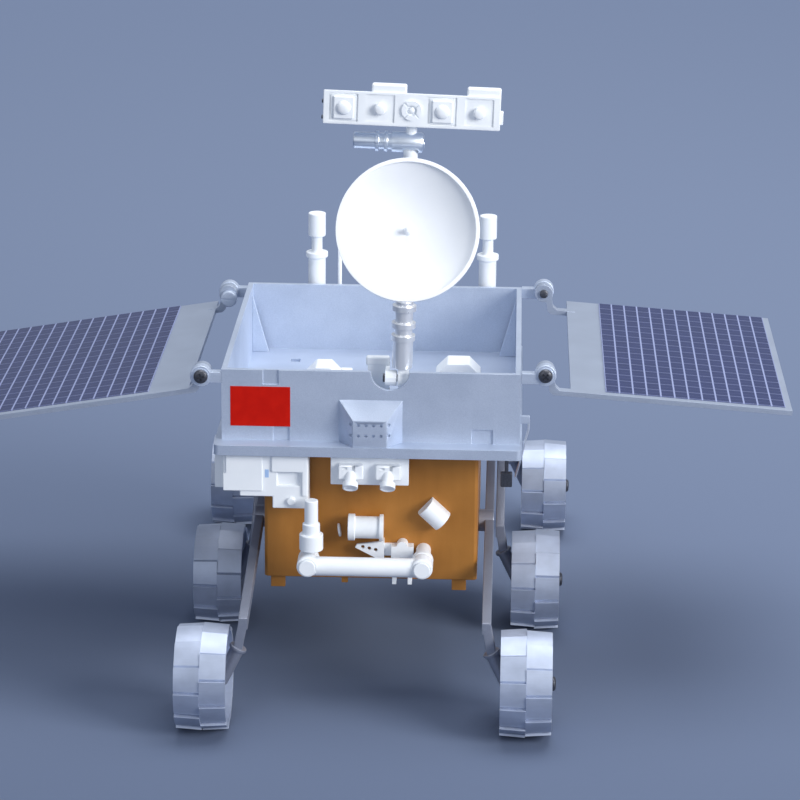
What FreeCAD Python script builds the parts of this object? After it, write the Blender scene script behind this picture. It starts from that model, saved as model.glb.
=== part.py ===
import FreeCAD, Part
import math
import os

# Die-cast desk model of a six-wheel planetary rover, in millimetres.
# X runs across (to the right seen from the front), Y runs from front to back, Z is up.
# The body is drawn about its own middle, with Y zero on the outside of the front wall,
# and every piece is moved by one shift so that the origin is the middle of the footprint.

V = FreeCAD.Vector

# Tray: deck plate with a ledge round it and four upright walls
tray_width = 83.2
tray_length = 93.0
tray_wall = 1.5
tray_height = 20.4
deck_top = 74.8
deck_thickness = 2.9
ledge_front = 5.5
ledge_back = 7.5
ledge_left = 1.9
ledge_right = 0.6
ledge_corner_radius = 1.6
deck_slot_x = -26.4
deck_slot_y = 79.2
deck_slot_width = 3.0
deck_slot_length = 3.0
gusset_height = 18.0
gusset_foot = 5.0
gusset_thickness = 1.0
gusset_setback = 4.0

# Notch and shallow recesses in the front wall
notch_x = 5.3
notch_radius = 5.4
recess_depth = 0.5
recess_height = 4.2
recess_upper_x = -27.8
recess_upper_width = 4.4
recess_lower_left_x = -24.9
recess_lower_width = 4.6
recess_lower_right_x = 31.1
recess_right_width = 5.9

# Vent housing on the front ledge
vent_width = 17.8
vent_height = 12.3
vent_face_width = 9.4
vent_face_height = 7.7
vent_depth = 5.2
vent_hole_radius = 0.45
vent_hole_depth = 0.8
vent_columns = 6
vent_rows = 2
vent_column_pitch = 2.1
vent_row_pitch = 3.05
vent_first_row = 3.4

# Wing hinges on the body
hinge_right_x = 48.3
hinge_left_x = 47.3
hinge_right_z = 95.0
hinge_left_z = 93.0
hinge_bar_right_z = 94.0
hinge_bar_left_z = 92.7
hinge_bar_height = 3.1
hinge_bar_depth = 3.0
hinge_boss_radius = 3.0
hinge_pin_radius = 1.1
hinge_screw_radius = 1.95
hinge_screw_height = 1.1
running_clearance = 0.06
side_clearance = 0.25

# Wings
wing_lug_width = 3.0
wing_lug_radius = 2.7
wing_right_drop = 5.0
wing_left_drop = 4.0
wing_plate_thickness = 1.2
wing_bar_width = 2.4
wing_bar_height = 1.4
wing_bar_start = 4.4
wing_right_start = 7.5
wing_left_start = 4.6
wing_right_reach = 69.3
wing_left_reach = 84.5
wing_right_overhang = 5.9
wing_left_overhang = 3.2
wing_right_droop = 4.0
wing_left_droop = 9.4
cell_right_start = 17.3
cell_left_start = 16.2
cell_sheet_margin = 1.8
cell_front_margin = 2.8
cell_back_margin = 0.6
cell_sheet_thickness = 0.3
cell_sheet_sink = 0.15

# Equipment box below the deck
box_width = 60.4
box_front_y = 5.7
box_back_setback = 8.0
box_bottom = 32.3
box_foot_right_x = 25.1
box_foot_left_x = -26.4
box_foot_width = 4.1
box_foot_depth = 2.0
box_foot_drop = 3.4
box_edge_radius = 0.8

# Flats that stand for a round: small fittings, turned mast parts, the dish, and tiny holes.
# The pins that carry a joint are true cylinders, which is what no flats stand for.
small_sides = 12
turned_sides = 16
dish_sides = 36
hole_sides = 6
pin_sides = 0
same_point = 0.001

# Wheels
wheel_radius = 15.0
wheel_width = 14.2
tread_teeth = 12
band_sides = 18
tread_step = 0.75
band_thickness = 1.1
web_thickness = 1.2
web_inner_x = 6.2
spoke_inset = 1.6
wheel_hub_radius = 3.0
spoke_count = 8
spoke_width = 1.1
spoke_depth = 1.2
axle_radius = 1.1
axle_end_play = 0.25
axle_screw_radius = 2.0
axle_screw_height = 0.9
front_wheel_y = -28.0
mid_wheel_y = 55.0
rear_wheel_y = 143.0
front_track = 89.0
mid_track = 94.4
rear_track = 100.4

# Rocker and bogie arms
arm_thickness = 2.6
arm_height = 3.4
rocker_gap = 1.9
bogie_gap = 0.5
rocker_pivot_y = 30.0
rocker_pivot_z = 42.0
rocker_hub_radius = 3.2
rocker_foot_z = 31.5
bogie_pivot_y = 99.0
bogie_pivot_z = 54.5
bogie_boss_radius = 3.4
bogie_foot_z = 31.0
bogie_pin_radius = 1.8
bogie_pin_height = 0.9
knee_radius = 2.2
knee_height = 8.6
knee_collar_radius = 2.9
knee_collar_height = 1.4
knee_boss_radius = 1.8
knee_foot = 1.6
knee_lean = 26.0

# Mast
mast_x = 8.35
mast_y = 4.4
mast_pivot_z = 92.3
mast_lean = 1.7
knuckle_radius = 2.6
knuckle_x = 8.85
knuckle_width = 3.1
knuckle_gap = 0.3
ear_width = 3.2
ear_radius = 2.2
foot_plate_thickness = 2.0
foot_plate_reach = 4.5
foot_plate_width = 6.2
foot_plate_top = 95.6
mast_pin_radius = 1.0
mast_pin_head_radius = 1.7
mast_pin_head_height = 0.6
mast_base_radius = 2.85
mast_base_bottom = 95.5
mast_collar_radius = 3.35
mast_sleeve_radius = 2.5
mast_collar_low = 103.4
mast_collar_mid = 107.0
mast_collar_high = 111.9
mast_collar_height = 1.6
mast_lower_top = 114.6
mast_upper_radius = 1.9
mast_upper_top = 157.6

# Camera head on the mast
tilt_z = 159.4
motor_radius = 2.85
motor_left = -7.4
motor_right = 11.2
sleeve_left = 3.2
sleeve_right = 12.0
motor_slim_radius = 2.25
motor_ring_width = 0.9
motor_ring_pitch = 2.4
motor_play = 0.1
neck_radius = 1.4
head_left = -15.7
head_right = 32.3
head_bottom = 164.4
head_height = 9.4
head_depth = 8.0
head_front_y = 0.2
head_edge = 0.7
head_tab_height = 2.0
head_tab_depth = 5.0
head_tab_left_start = -2.7
head_tab_left_end = 6.8
head_tab_right_start = 23.1
head_tab_right_end = 32.3
lens_pad_size = 8.2
lens_pad_height = 0.6
lens_pad_corner = 2.0
lens_dome_radius = 2.0
lens_dome_height = 1.6
lens_stud_radius = 1.6
lens_stud_height = 1.5
lens_z = 169.1
lens_far_left = -10.1
lens_near_left = -0.2
lens_ring_x = 8.3
lens_near_right = 16.6
lens_far_right = 26.6
ring_outer_radius = 2.7
ring_inner_radius = 1.45

# Dish antenna
dish_x = 8.8
dish_y = -11.5
dish_z = 138.8
dish_radius = 18.9
dish_depth = 5.4
dish_thickness = 0.9
dish_bands = 3
dish_rim_width = 0.9
dish_rim_height = 1.3
dish_elevation = 18.0
dish_swivel = 5.0
feed_radius = 0.7
feed_seat_radius = 1.2
feed_length = 3.6
dish_yoke_width = 6.0
dish_yoke_thickness = 1.4
dish_yoke_height = 4.4
dish_pin_radius = 0.8
dish_tang_width = 2.4
dish_axis_gap = 3.3

# Instruments on the front of the box
instrument_front_y = -3.0
instrument_left = -41.0
instrument_split = -29.1
instrument_strip_left = -36.4
instrument_right = -17.2
instrument_main_depth = 8.0
instrument_main_drop = 11.2
instrument_side_drop = 12.7
instrument_edge_width = 2.6
instrument_low_left = -27.2
instrument_low_drop = 3.4
instrument_recess_left = -25.9
instrument_recess_right = -19.5
instrument_recess_low = 62.5
instrument_recess_top = 66.2
instrument_recess_depth = 0.9
instrument_stud_x = -22.0
instrument_stud_z = 58.0
instrument_stud_radius = 1.2
instrument_stud_height = 0.9
camera_plate_left = -11.0
camera_plate_right = 10.8
camera_plate_drop = 9.1
camera_plate_front_y = -2.0
camera_plate_thickness = 2.0
camera_block_width = 5.6
camera_block_height = 4.3
camera_block_rise = 1.9
camera_block_depth = 2.4
camera_left_x = -5.3
camera_right_x = 5.1
camera_barrel_radius = 1.85
camera_barrel_length = 1.7
camera_flange_radius = 2.2
camera_flange_height = 1.0
camera_tilt = 35.0

# Fittings on the front face of the box
drum_left = -6.2
drum_right = 3.7
drum_z = 49.0
drum_radius = 3.15
drum_flange_radius = 3.8
drum_left_flange = 1.9
drum_right_flange = 1.1
drum_standoff = 3.9
cube_x = 17.9
cube_z = 52.6
cube_width = 6.9
cube_height = 5.9
cube_depth = 5.0
cube_turn = 43.0
bracket_left = -4.3
bracket_tip_z = 43.2
bracket_foot_x = 1.7
bracket_middle = 3.0
bracket_web = 0.9
bracket_block_left = 5.9
bracket_right = 12.2
bracket_low = 39.6
bracket_top = 44.7
bracket_side_top = 43.2
bracket_hump_radius = 1.6
bracket_plate_thickness = 1.0
bracket_block_depth = 3.4
bracket_hole_radius = 0.6
prong_width = 1.2
prong_drop = 0.4
prong_pitch = 4.4

# Sampling arm
sample_y = -8.0
shoulder_x = 15.0
shoulder_z = 41.2
elbow_x = -17.0
joint_disc_radius = 3.0
joint_disc_depth = 2.6
joint_pin_radius = 0.9
joint_cap_radius = 2.3
joint_cap_height = 0.8
sample_tube_radius = 2.7
sample_tube_z = 40.7
sample_plate_gap = 0.3
forearm_x = -16.1
forearm_low_radius = 3.35
forearm_low_height = 4.6
forearm_mid_radius = 2.45
forearm_mid_height = 3.1
forearm_top_radius = 1.9
forearm_top_height = 6.8
forearm_bottom = 45.2
stub_radius = 2.1

# Rear posts, whip rod and loose fittings in the tray
post_left_x = -21.0
post_right_x = 31.1
post_setback = 4.2
post_base_radius = 2.65
post_collar_radius = 3.35
post_neck_radius = 1.65
post_cap_radius = 2.65
post_collar_z = 102.6
post_collar_height = 1.7
post_neck_top = 109.2
post_cap_top = 116.4
whip_x = -14.0
whip_radius = 0.6
whip_top = 112.0
block_left_x = -15.3
block_left_width = 11.0
block_right_x = 23.6
block_right_width = 13.0
block_y = 33.0
block_depth = 9.0
block_left_height = 11.6
block_right_height = 13.4
block_slope = 3.4
clip_height = 2.6
clip_depth = 1.4

# Derived places
half_width = tray_width / 2
half_track_front = front_track / 2
half_track_mid = mid_track / 2
half_track_rear = rear_track / 2
deck_bottom = deck_top - deck_thickness
wall_top = deck_top + tray_height
box_back_y = tray_length - box_back_setback
bar_rise = (wing_bar_height - wing_plate_thickness) / 2
left_turn = math.radians(wing_left_droop)
right_turn = math.radians(wing_right_droop)
left_drop = wing_left_drop - bar_rise
right_drop = wing_right_drop - bar_rise
left_edge = -hinge_left_x - wing_left_reach * math.cos(left_turn) + left_drop * math.sin(left_turn)
right_edge = hinge_right_x + wing_right_reach * math.cos(right_turn) - right_drop * math.sin(right_turn)
shift = V(-(left_edge + right_edge) / 2, -(front_wheel_y + rear_wheel_y) / 2, 0)
origin = V(0, 0, 0)
axis_x = V(1, 0, 0)
axis_y = V(0, 1, 0)
axis_z = V(0, 0, 1)


def block(x0, x1, y0, y1, z0, z1):
    return Part.makeBox(x1 - x0, y1 - y0, z1 - z0, V(x0, y0, z0))


def prism(points, direction):
    wire = Part.makePolygon(points + [points[0]])
    return Part.Face(wire).extrude(direction)


def rod(start, direction, radius, length, sides=small_sides):
    if not sides:
        return Part.makeCylinder(radius, length, start, direction)
    across = direction.cross(axis_x if abs(direction.x) < 0.5 else axis_y).normalize()
    up = direction.cross(across)
    points = []
    for corner in range(sides):
        angle = (corner + 0.5) * 2 * math.pi / sides
        points.append(start + across * (radius * math.cos(angle)) + up * (radius * math.sin(angle)))
    return prism(points, direction * length)


def spun(profile, sides):
    faces = []
    for side in range(sides):
        turns = [(side + step) * 2 * math.pi / sides for step in (0, 1)]
        for (radius0, y0), (radius1, y1) in zip(profile, profile[1:]):
            corners = []
            for radius, y, turn in (
                (radius0, y0, turns[0]), (radius1, y1, turns[0]),
                (radius1, y1, turns[1]), (radius0, y0, turns[1]),
            ):
                corner = V(radius * math.cos(turn), y, radius * math.sin(turn))
                if not any(corner.isEqual(other, same_point) for other in corners):
                    corners.append(corner)
            faces.append(Part.Face(Part.makePolygon(corners + [corners[0]])))
    return Part.makeSolid(Part.makeShell(faces))


def rod_x(x0, x1, y, z, radius, sides=small_sides):
    return rod(V(x0, y, z), axis_x, radius, x1 - x0, sides)


def rod_y(y0, y1, x, z, radius, sides=small_sides):
    return rod(V(x, y0, z), axis_y, radius, y1 - y0, sides)


def rod_z(z0, z1, x, y, radius, sides=small_sides):
    return rod(V(x, y, z0), axis_z, radius, z1 - z0, sides)


def mirrored(shape):
    return shape.mirror(origin, axis_x)


def turned(shape, centre, axis, degrees):
    copy = shape.copy()
    copy.rotate(centre, axis, degrees)
    return copy


def fused(shapes):
    result = shapes[0].fuse(shapes[1:]) if len(shapes) > 1 else shapes[0]
    return result.removeSplitter()


def export(node, shapes):
    solids = []
    for shape in shapes:
        moved = shape.copy()
        moved.translate(shift)
        solids.extend(moved.Solids)
    os.makedirs("parts", exist_ok=True)
    whole = solids[0] if len(solids) == 1 else Part.makeCompound(solids)
    whole.exportStep("parts/" + node + ".step")
    print(node, len(solids), round(sum(s.Volume for s in solids), 1))


# Deck plate with rounded corners and its small slot
deck = block(
    -half_width - ledge_left, half_width + ledge_right,
    -ledge_front, tray_length + ledge_back, deck_bottom, deck_top,
)
upright = [e for e in deck.Edges if abs(e.Vertexes[0].Z - e.Vertexes[-1].Z) > deck_thickness / 2]
deck = deck.makeFillet(ledge_corner_radius, upright)
deck = deck.cut(block(
    deck_slot_x - deck_slot_width / 2, deck_slot_x + deck_slot_width / 2,
    deck_slot_y - deck_slot_length / 2, deck_slot_y + deck_slot_length / 2,
    deck_top - deck_thickness / 2, deck_top,
))
export("deck_plate", [deck])

# Front wall with the half-round notch for the mast and three shallow recesses
front_wall = block(-half_width, half_width, 0, tray_wall, deck_top, wall_top)
front_wall = front_wall.cut(rod_y(0, tray_wall, notch_x, wall_top, notch_radius, dish_sides))
for x, width, z0, z1 in (
    (recess_upper_x, recess_upper_width, wall_top - recess_height, wall_top),
    (recess_lower_left_x, recess_lower_width, deck_top, deck_top + recess_height),
    (recess_lower_right_x, recess_right_width, deck_top, deck_top + recess_height),
):
    front_wall = front_wall.cut(block(x - width / 2, x + width / 2, 0, recess_depth, z0, z1))
export("wall_front", [front_wall])
export("wall_back", [block(
    -half_width, half_width, tray_length - tray_wall, tray_length, deck_top, wall_top,
)])
side_wall = block(
    half_width - tray_wall, half_width, tray_wall, tray_length - tray_wall, deck_top, wall_top,
)
export("wall_right", [side_wall])
export("wall_left", [mirrored(side_wall)])

# Triangular ribs in the back corners of the tray
rib_y = tray_length - tray_wall - gusset_setback
rib_x = half_width - tray_wall
rib = prism(
    [V(rib_x, rib_y, deck_top), V(rib_x - gusset_foot, rib_y, deck_top),
     V(rib_x, rib_y, deck_top + gusset_height)],
    V(0, gusset_thickness, 0),
)
export("corner_ribs", [rib, mirrored(rib)])

# Vent housing: a plate with three bevelled sides and two rows of holes
bevel_side = (vent_width - vent_face_width) / 2
bevel_top = vent_height - vent_face_height
vent_top = deck_top + vent_height
vent = block(-vent_width / 2, vent_width / 2, -vent_depth, 0, deck_top, vent_top)
side_cut = prism(
    [V(-vent_width / 2, 0, deck_top), V(-vent_width / 2, -vent_depth, deck_top),
     V(-vent_width / 2 + bevel_side, -vent_depth, deck_top)],
    V(0, 0, vent_height),
)
top_cut = prism(
    [V(-vent_width / 2, 0, vent_top), V(-vent_width / 2, -vent_depth, vent_top),
     V(-vent_width / 2, -vent_depth, vent_top - bevel_top)],
    V(vent_width, 0, 0),
)
vent = vent.cut(side_cut).cut(mirrored(side_cut)).cut(top_cut)
for row in range(vent_rows):
    for column in range(vent_columns):
        hole_x = (column - (vent_columns - 1) / 2) * vent_column_pitch
        hole_z = deck_top + vent_first_row + row * vent_row_pitch
        beyond = max(abs(hole_x) - vent_face_width / 2, 0)
        face_y = -vent_depth * (1 - beyond / bevel_side)
        vent = vent.cut(rod_y(-vent_depth, face_y + vent_hole_depth, hole_x, hole_z, vent_hole_radius,
                             hole_sides))
export("vent_housing", [vent])

# Hinge bars: an arm from each tray corner to a round boss with the wing's pin
lug_slot = wing_lug_width + 2 * side_clearance
hinges = (
    ("right", hinge_right_x, hinge_right_z, hinge_bar_right_z),
    ("left", hinge_left_x, hinge_left_z, hinge_bar_left_z),
)


def hinge_bar(front, x, z, bar_z):
    y0 = 0 if front else tray_length - hinge_bar_depth
    bar = block(
        half_width, x, y0, y0 + hinge_bar_depth,
        bar_z - hinge_bar_height / 2, bar_z + hinge_bar_height / 2,
    )
    boss = rod_y(y0, y0 + hinge_bar_depth, x, z, hinge_boss_radius)
    pin0 = hinge_bar_depth if front else tray_length - hinge_bar_depth - lug_slot
    pin = rod_y(pin0, pin0 + lug_slot, x, z, hinge_pin_radius, pin_sides)
    return fused([bar, boss, pin])


def hinge_screw(front, x, z):
    y0 = -hinge_screw_height if front else tray_length
    return rod_y(y0, y0 + hinge_screw_height, x, z, hinge_screw_radius)


bars = []
screws = []
for side, x, z, bar_z in hinges:
    for front in (True, False):
        pair = [hinge_bar(front, x, z, bar_z), hinge_screw(front, x, z)]
        if side == "left":
            pair = [mirrored(s) for s in pair]
        bars.append(pair[0])
        screws.append(pair[1])
export("hinge_bars", bars)
export("hinge_screws", screws)

# Wings: a plate with a bar along its front edge, and a ring at each end of the hinge line
lug_front_y = hinge_bar_depth + side_clearance
lug_back_y = tray_length - lug_front_y


def wing(x, z, drop, start, reach, back_y):
    edge = x + reach
    plate_top = z - drop
    bar_top = plate_top + bar_rise
    bar_low = bar_top - wing_bar_height
    inner = x + start
    pieces = [
        block(inner, edge, lug_front_y, back_y, plate_top - wing_plate_thickness, plate_top),
        block(x + wing_bar_start, edge, lug_front_y, lug_front_y + wing_bar_width, bar_low, bar_top),
    ]
    side = x + wing_lug_radius
    for lug0 in (lug_front_y, lug_back_y - wing_lug_width):
        pieces.append(rod_y(lug0, lug0 + wing_lug_width, x, z, wing_lug_radius))
        hook = [
            V(x, lug0, z + wing_lug_radius / 3),
            V(side, lug0, z + wing_lug_radius / 10),
            V(side, lug0, z - drop * 0.45),
            V(side + 0.5, lug0, z - drop * 0.78),
            V(x + wing_bar_start, lug0, bar_top),
            V(inner + wing_bar_width, lug0, bar_top),
            V(inner + wing_bar_width, lug0, bar_low),
            V(side, lug0, bar_low),
            V(side - 1.1, lug0, bar_low + 0.9),
            V(side - 1.6, lug0, z - drop * 0.6),
            V(x, lug0, z - wing_lug_radius * 0.8),
        ]
        pieces.append(prism(hook, V(0, wing_lug_width, 0)))
    return fused(pieces).cut(rod_y(0, tray_length, x, z, hinge_pin_radius + running_clearance))


def cells(x, z, drop, start, reach, back_y):
    plate_top = z - drop
    return block(
        x + start, x + reach - cell_sheet_margin,
        lug_front_y + cell_front_margin, back_y - cell_back_margin,
        plate_top, plate_top + cell_sheet_thickness,
    )


for side, x, z, drop, droop, start, cell_start, reach, back_y in (
    ("right", hinge_right_x, hinge_right_z, wing_right_drop, wing_right_droop,
     wing_right_start, cell_right_start, wing_right_reach, tray_length + wing_right_overhang),
    ("left", hinge_left_x, hinge_left_z, wing_left_drop, wing_left_droop,
     wing_left_start, cell_left_start, wing_left_reach, tray_length + wing_left_overhang),
):
    hinge = V(x, 0, z)
    panel = turned(wing(x, z, drop, start, reach, back_y), hinge, axis_y, droop)
    sheet = turned(cells(x, z, drop, cell_start, reach, back_y), hinge, axis_y, droop)
    if side == "left":
        panel = mirrored(panel)
        sheet = mirrored(sheet)
    export("wing_" + side, [panel])
    export("cells_" + side, [sheet])

# Equipment box under the deck, with its four feet
box = block(-box_width / 2, box_width / 2, box_front_y, box_back_y, box_bottom, deck_bottom)
corners = [e for e in box.Edges if abs(e.Vertexes[0].Z - e.Vertexes[-1].Z) > box_foot_drop]
export("equipment_box", [box.makeChamfer(box_edge_radius, corners)])
feet = []
for y0 in (box_front_y + box_edge_radius, box_back_y - box_edge_radius - box_foot_depth):
    for x in (box_foot_right_x, box_foot_left_x):
        feet.append(block(
            x - box_foot_width / 2, x + box_foot_width / 2, y0, y0 + box_foot_depth,
            box_bottom - box_foot_drop, box_bottom,
        ))
export("box_feet", feet)

# Wheels: a band with two staggered rows of saw-tooth treads, a web, a hub and spokes
row_width = wheel_width / 2
tooth_angle = 360.0 / tread_teeth
tread_low = wheel_radius - tread_step


def tread_row(x0, start_angle):
    points = []
    for tooth in range(tread_teeth):
        first = start_angle + tooth * tooth_angle
        for share, radius in (
            (0, wheel_radius), (0.5, (wheel_radius + tread_low) / 2), (1, tread_low),
        ):
            angle = math.radians(first + share * tooth_angle)
            points.append(V(x0, -radius * math.sin(angle), radius * math.cos(angle)))
    return prism(points, V(row_width, 0, 0))


def wheel():
    tread = tread_row(0, 0).fuse(tread_row(row_width, tooth_angle / 2))
    inner = tread_low - band_thickness
    band = tread.cut(rod_x(0, wheel_width, 0, 0, inner, band_sides))
    rooted = inner + band_thickness / 2
    pieces = [
        band,
        rod_x(web_inner_x, web_inner_x + web_thickness, 0, 0, rooted, band_sides),
        rod_x(web_inner_x, wheel_width, 0, 0, wheel_hub_radius),
    ]
    for spoke in range(spoke_count):
        arm = block(
            wheel_width - spoke_inset - spoke_depth, wheel_width - spoke_inset,
            -spoke_width / 2, spoke_width / 2, wheel_hub_radius / 2, rooted,
        )
        pieces.append(turned(arm, origin, axis_x, spoke * 360.0 / spoke_count))
    return fused(pieces).cut(rod_x(0, wheel_width, 0, 0, axle_radius + running_clearance))


wheel_shape = wheel()
wheel_places = (
    ("front", half_track_front, front_wheel_y),
    ("mid", half_track_mid, mid_wheel_y),
    ("rear", half_track_rear, rear_wheel_y),
)
for name, half_track, y in wheel_places:
    right = wheel_shape.copy()
    right.translate(V(half_track - row_width, y, wheel_radius))
    export("wheel_" + name + "_right", [right])
    export("wheel_" + name + "_left", [mirrored(right)])


# Rocker and bogie arms: flat bars that bend down at the foot, a round knee and a wheel axle
def arm_bar(x0, foot_y, foot_z, pivot_y, pivot_z):
    slope = (pivot_z - foot_z) / (pivot_y - foot_y)
    half_rise = arm_height / 2 / math.cos(math.atan(slope))
    end_y = foot_y - math.copysign(arm_height / 2, pivot_y - foot_y)
    end_z = foot_z + slope * (end_y - foot_y)
    outline = [
        V(x0, end_y, end_z - half_rise), V(x0, end_y, end_z + half_rise),
        V(x0, pivot_y, pivot_z + half_rise), V(x0, pivot_y, pivot_z - half_rise),
    ]
    return prism(outline, V(arm_thickness, 0, 0))


def knee(half_track, y, arm_x, foot_z):
    face = half_track - row_width - axle_end_play
    lean = math.radians(knee_lean)
    down = V(math.sin(lean), 0, -math.cos(lean))
    knee_top = wheel_radius + knee_height
    top = V(face - knee_radius, y, knee_top)
    reach = knee_height / math.cos(lean)
    bottom_x = top.x + knee_height * math.tan(lean)
    shin = prism(
        [V(arm_x, y - arm_height / 2, foot_z),
         V(arm_x + arm_thickness, y - arm_height / 2, foot_z),
         V(top.x + arm_thickness / 2, y - arm_height / 2, knee_top),
         V(top.x - arm_thickness / 2, y - arm_height / 2, knee_top)],
        V(0, arm_height, 0),
    )
    axle_end = half_track + row_width + axle_end_play
    return [
        rod(top, down, knee_radius, reach + knee_foot),
        rod(top, down * -1, knee_collar_radius, knee_collar_height),
        shin,
        rod_x(bottom_x, face + web_inner_x, y, wheel_radius, knee_boss_radius),
        rod_x(bottom_x, axle_end, y, wheel_radius, axle_radius, pin_sides),
    ]


rocker_inner = box_width / 2 + rocker_gap
rocker_outer = rocker_inner + arm_thickness
bogie_inner = rocker_outer + bogie_gap
bogie_outer = bogie_inner + arm_thickness
rocker = fused([
    arm_bar(rocker_inner, front_wheel_y, rocker_foot_z, rocker_pivot_y, rocker_pivot_z),
    arm_bar(rocker_inner, rocker_pivot_y, rocker_pivot_z, bogie_pivot_y, bogie_pivot_z),
    rod_x(box_width / 2, rocker_outer, rocker_pivot_y, rocker_pivot_z, rocker_hub_radius),
    rod_x(rocker_inner, bogie_inner, bogie_pivot_y, bogie_pivot_z, bogie_boss_radius),
] + knee(half_track_front, front_wheel_y, rocker_inner, rocker_foot_z))
export("rocker_right", [rocker])
export("rocker_left", [mirrored(rocker)])
bogie = fused(
    [
        arm_bar(bogie_inner, mid_wheel_y, bogie_foot_z, bogie_pivot_y, bogie_pivot_z),
        arm_bar(bogie_inner, rear_wheel_y, bogie_foot_z, bogie_pivot_y, bogie_pivot_z),
        rod_x(bogie_inner, bogie_outer, bogie_pivot_y, bogie_pivot_z, bogie_boss_radius),
    ]
    + knee(half_track_mid, mid_wheel_y, bogie_inner, bogie_foot_z)
    + knee(half_track_rear, rear_wheel_y, bogie_inner, bogie_foot_z)
)
export("bogie_right", [bogie])
export("bogie_left", [mirrored(bogie)])
heads = [rod_x(
    bogie_outer, bogie_outer + bogie_pin_height, bogie_pivot_y, bogie_pivot_z, bogie_pin_radius,
)]
for name, half_track, y in wheel_places:
    head_x = half_track + row_width + axle_end_play
    heads.append(rod_x(
        head_x, head_x + axle_screw_height, y, wheel_radius, axle_screw_radius,
    ))
export("axle_screws", heads + [mirrored(s) for s in heads])

# Mast foot: a plate on the deck with the fixed ear of the folding knuckle
knuckle_left = knuckle_x - knuckle_width / 2
knuckle_right = knuckle_x + knuckle_width / 2
ear_right = knuckle_left - knuckle_gap
ear_left = ear_right - ear_width
foot_right = mast_x - mast_base_radius - 2 * knuckle_gap
mast_pivot = V(mast_x, 0, mast_pivot_z)
foot_front = mast_y + foot_plate_reach
foot_back = foot_front + foot_plate_thickness
pin_end = knuckle_right + knuckle_gap
export("mast_foot", [fused([
    block(foot_right - foot_plate_width, foot_right, foot_front, foot_back, deck_top, foot_plate_top),
    rod_x(ear_left, ear_right, mast_y, mast_pivot_z, ear_radius),
    block(ear_left, foot_right, mast_y, foot_back, mast_pivot_z - ear_radius, mast_pivot_z + ear_radius),
    rod_x(ear_right, pin_end, mast_y, mast_pivot_z, mast_pin_radius, pin_sides),
])])
export("mast_pin_head", [rod_x(
    pin_end, pin_end + mast_pin_head_height, mast_y, mast_pivot_z, mast_pin_head_radius,
)])



def leaned(shape):
    return turned(shape, mast_pivot, axis_y, mast_lean)


# Mast: white knuckle, turned metal lower part with collars, slim upper tube, leaning a little
knuckle = fused([
    rod_x(knuckle_left, knuckle_right, mast_y, mast_pivot_z, knuckle_radius, turned_sides),
    block(
        knuckle_left, knuckle_right, mast_y - knuckle_width / 2, mast_y + knuckle_width / 2,
        mast_pivot_z, mast_base_bottom,
    ),
])
knuckle_bore = rod_x(
    knuckle_left, knuckle_right, mast_y, mast_pivot_z, mast_pin_radius + running_clearance, turned_sides,
)
export("mast_knuckle", [knuckle.cut(knuckle_bore)])
sections = [(mast_base_bottom, mast_collar_low, mast_base_radius)]
collars = (mast_collar_low, mast_collar_mid, mast_collar_high)
for index, z in enumerate(collars):
    end = collars[index + 1] if index + 1 < len(collars) else mast_lower_top
    sections.append((z, z + mast_collar_height, mast_collar_radius))
    sections.append((z + mast_collar_height, end, mast_sleeve_radius))
lower = fused([rod_z(z0, z1, mast_x, mast_y, r, turned_sides) for z0, z1, r in sections])
knuckle_room = block(
    knuckle_left, knuckle_right, mast_y - knuckle_width / 2, mast_y + knuckle_width / 2,
    mast_pivot_z, mast_base_bottom,
)
export("mast_lower", [leaned(lower).cut(knuckle_room)])
motor_bore = rod_x(motor_left, motor_right, mast_y, tilt_z, motor_slim_radius, turned_sides)
mast_top = rod_z(
    mast_lower_top, tilt_z - motor_slim_radius * 0.8, mast_x, mast_y, mast_upper_radius, turned_sides,
)
export("mast_upper", [leaned(mast_top.cut(motor_bore))])

# Tilt motor: a round core across the top of the mast, with two rings at its left end
ring_near = sleeve_left - side_clearance
ring_far = ring_near - motor_ring_pitch
motor_steps = [
    rod_x(motor_left, ring_near, mast_y, tilt_z, motor_slim_radius, turned_sides),
    rod_x(ring_near, motor_right, mast_y, tilt_z, motor_slim_radius, pin_sides),
]
for ring_x in (ring_near, ring_far):
    motor_steps.append(rod_x(ring_x - motor_ring_width, ring_x, mast_y, tilt_z, motor_radius, turned_sides))
export("tilt_motor", [leaned(fused(motor_steps))])

# Camera head: metal sleeve on the motor's core, white neck and bar with its raised pads
sleeve = rod_x(sleeve_left, sleeve_right, mast_y, tilt_z, motor_radius, turned_sides)
neck = rod_z(tilt_z, head_bottom, mast_x, mast_y, neck_radius, turned_sides).cut(sleeve)
sleeve_bore = rod_x(
    sleeve_left, motor_right + side_clearance, mast_y, tilt_z, motor_slim_radius + motor_play, turned_sides,
)
mast_path = block(
    mast_x - mast_upper_radius - side_clearance, mast_x + mast_upper_radius + side_clearance,
    mast_y - mast_upper_radius * 2, mast_y + mast_upper_radius * 2,
    tilt_z - motor_radius * 2, tilt_z - motor_radius / 5,
)
export("head_sleeve", [leaned(sleeve.cut(sleeve_bore).cut(mast_path))])
export("head_neck", [leaned(neck)])
head_back_y = head_front_y + head_depth
head_top = head_bottom + head_height
bar = block(head_left, head_right, head_front_y, head_back_y, head_bottom, head_top)
long_edges = [e for e in bar.Edges if e.Length > head_depth + head_edge]
bar = bar.makeChamfer(head_edge, long_edges)
tabs = [
    block(x0, x1, head_front_y + head_edge, head_front_y + head_tab_depth,
          head_top - head_edge, head_top + head_tab_height)
    for x0, x1 in (
        (head_tab_left_start, head_tab_left_end),
        (head_tab_right_start, head_tab_right_end),
    )
]
export("head_bar", [leaned(fused([bar] + tabs))])


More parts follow.
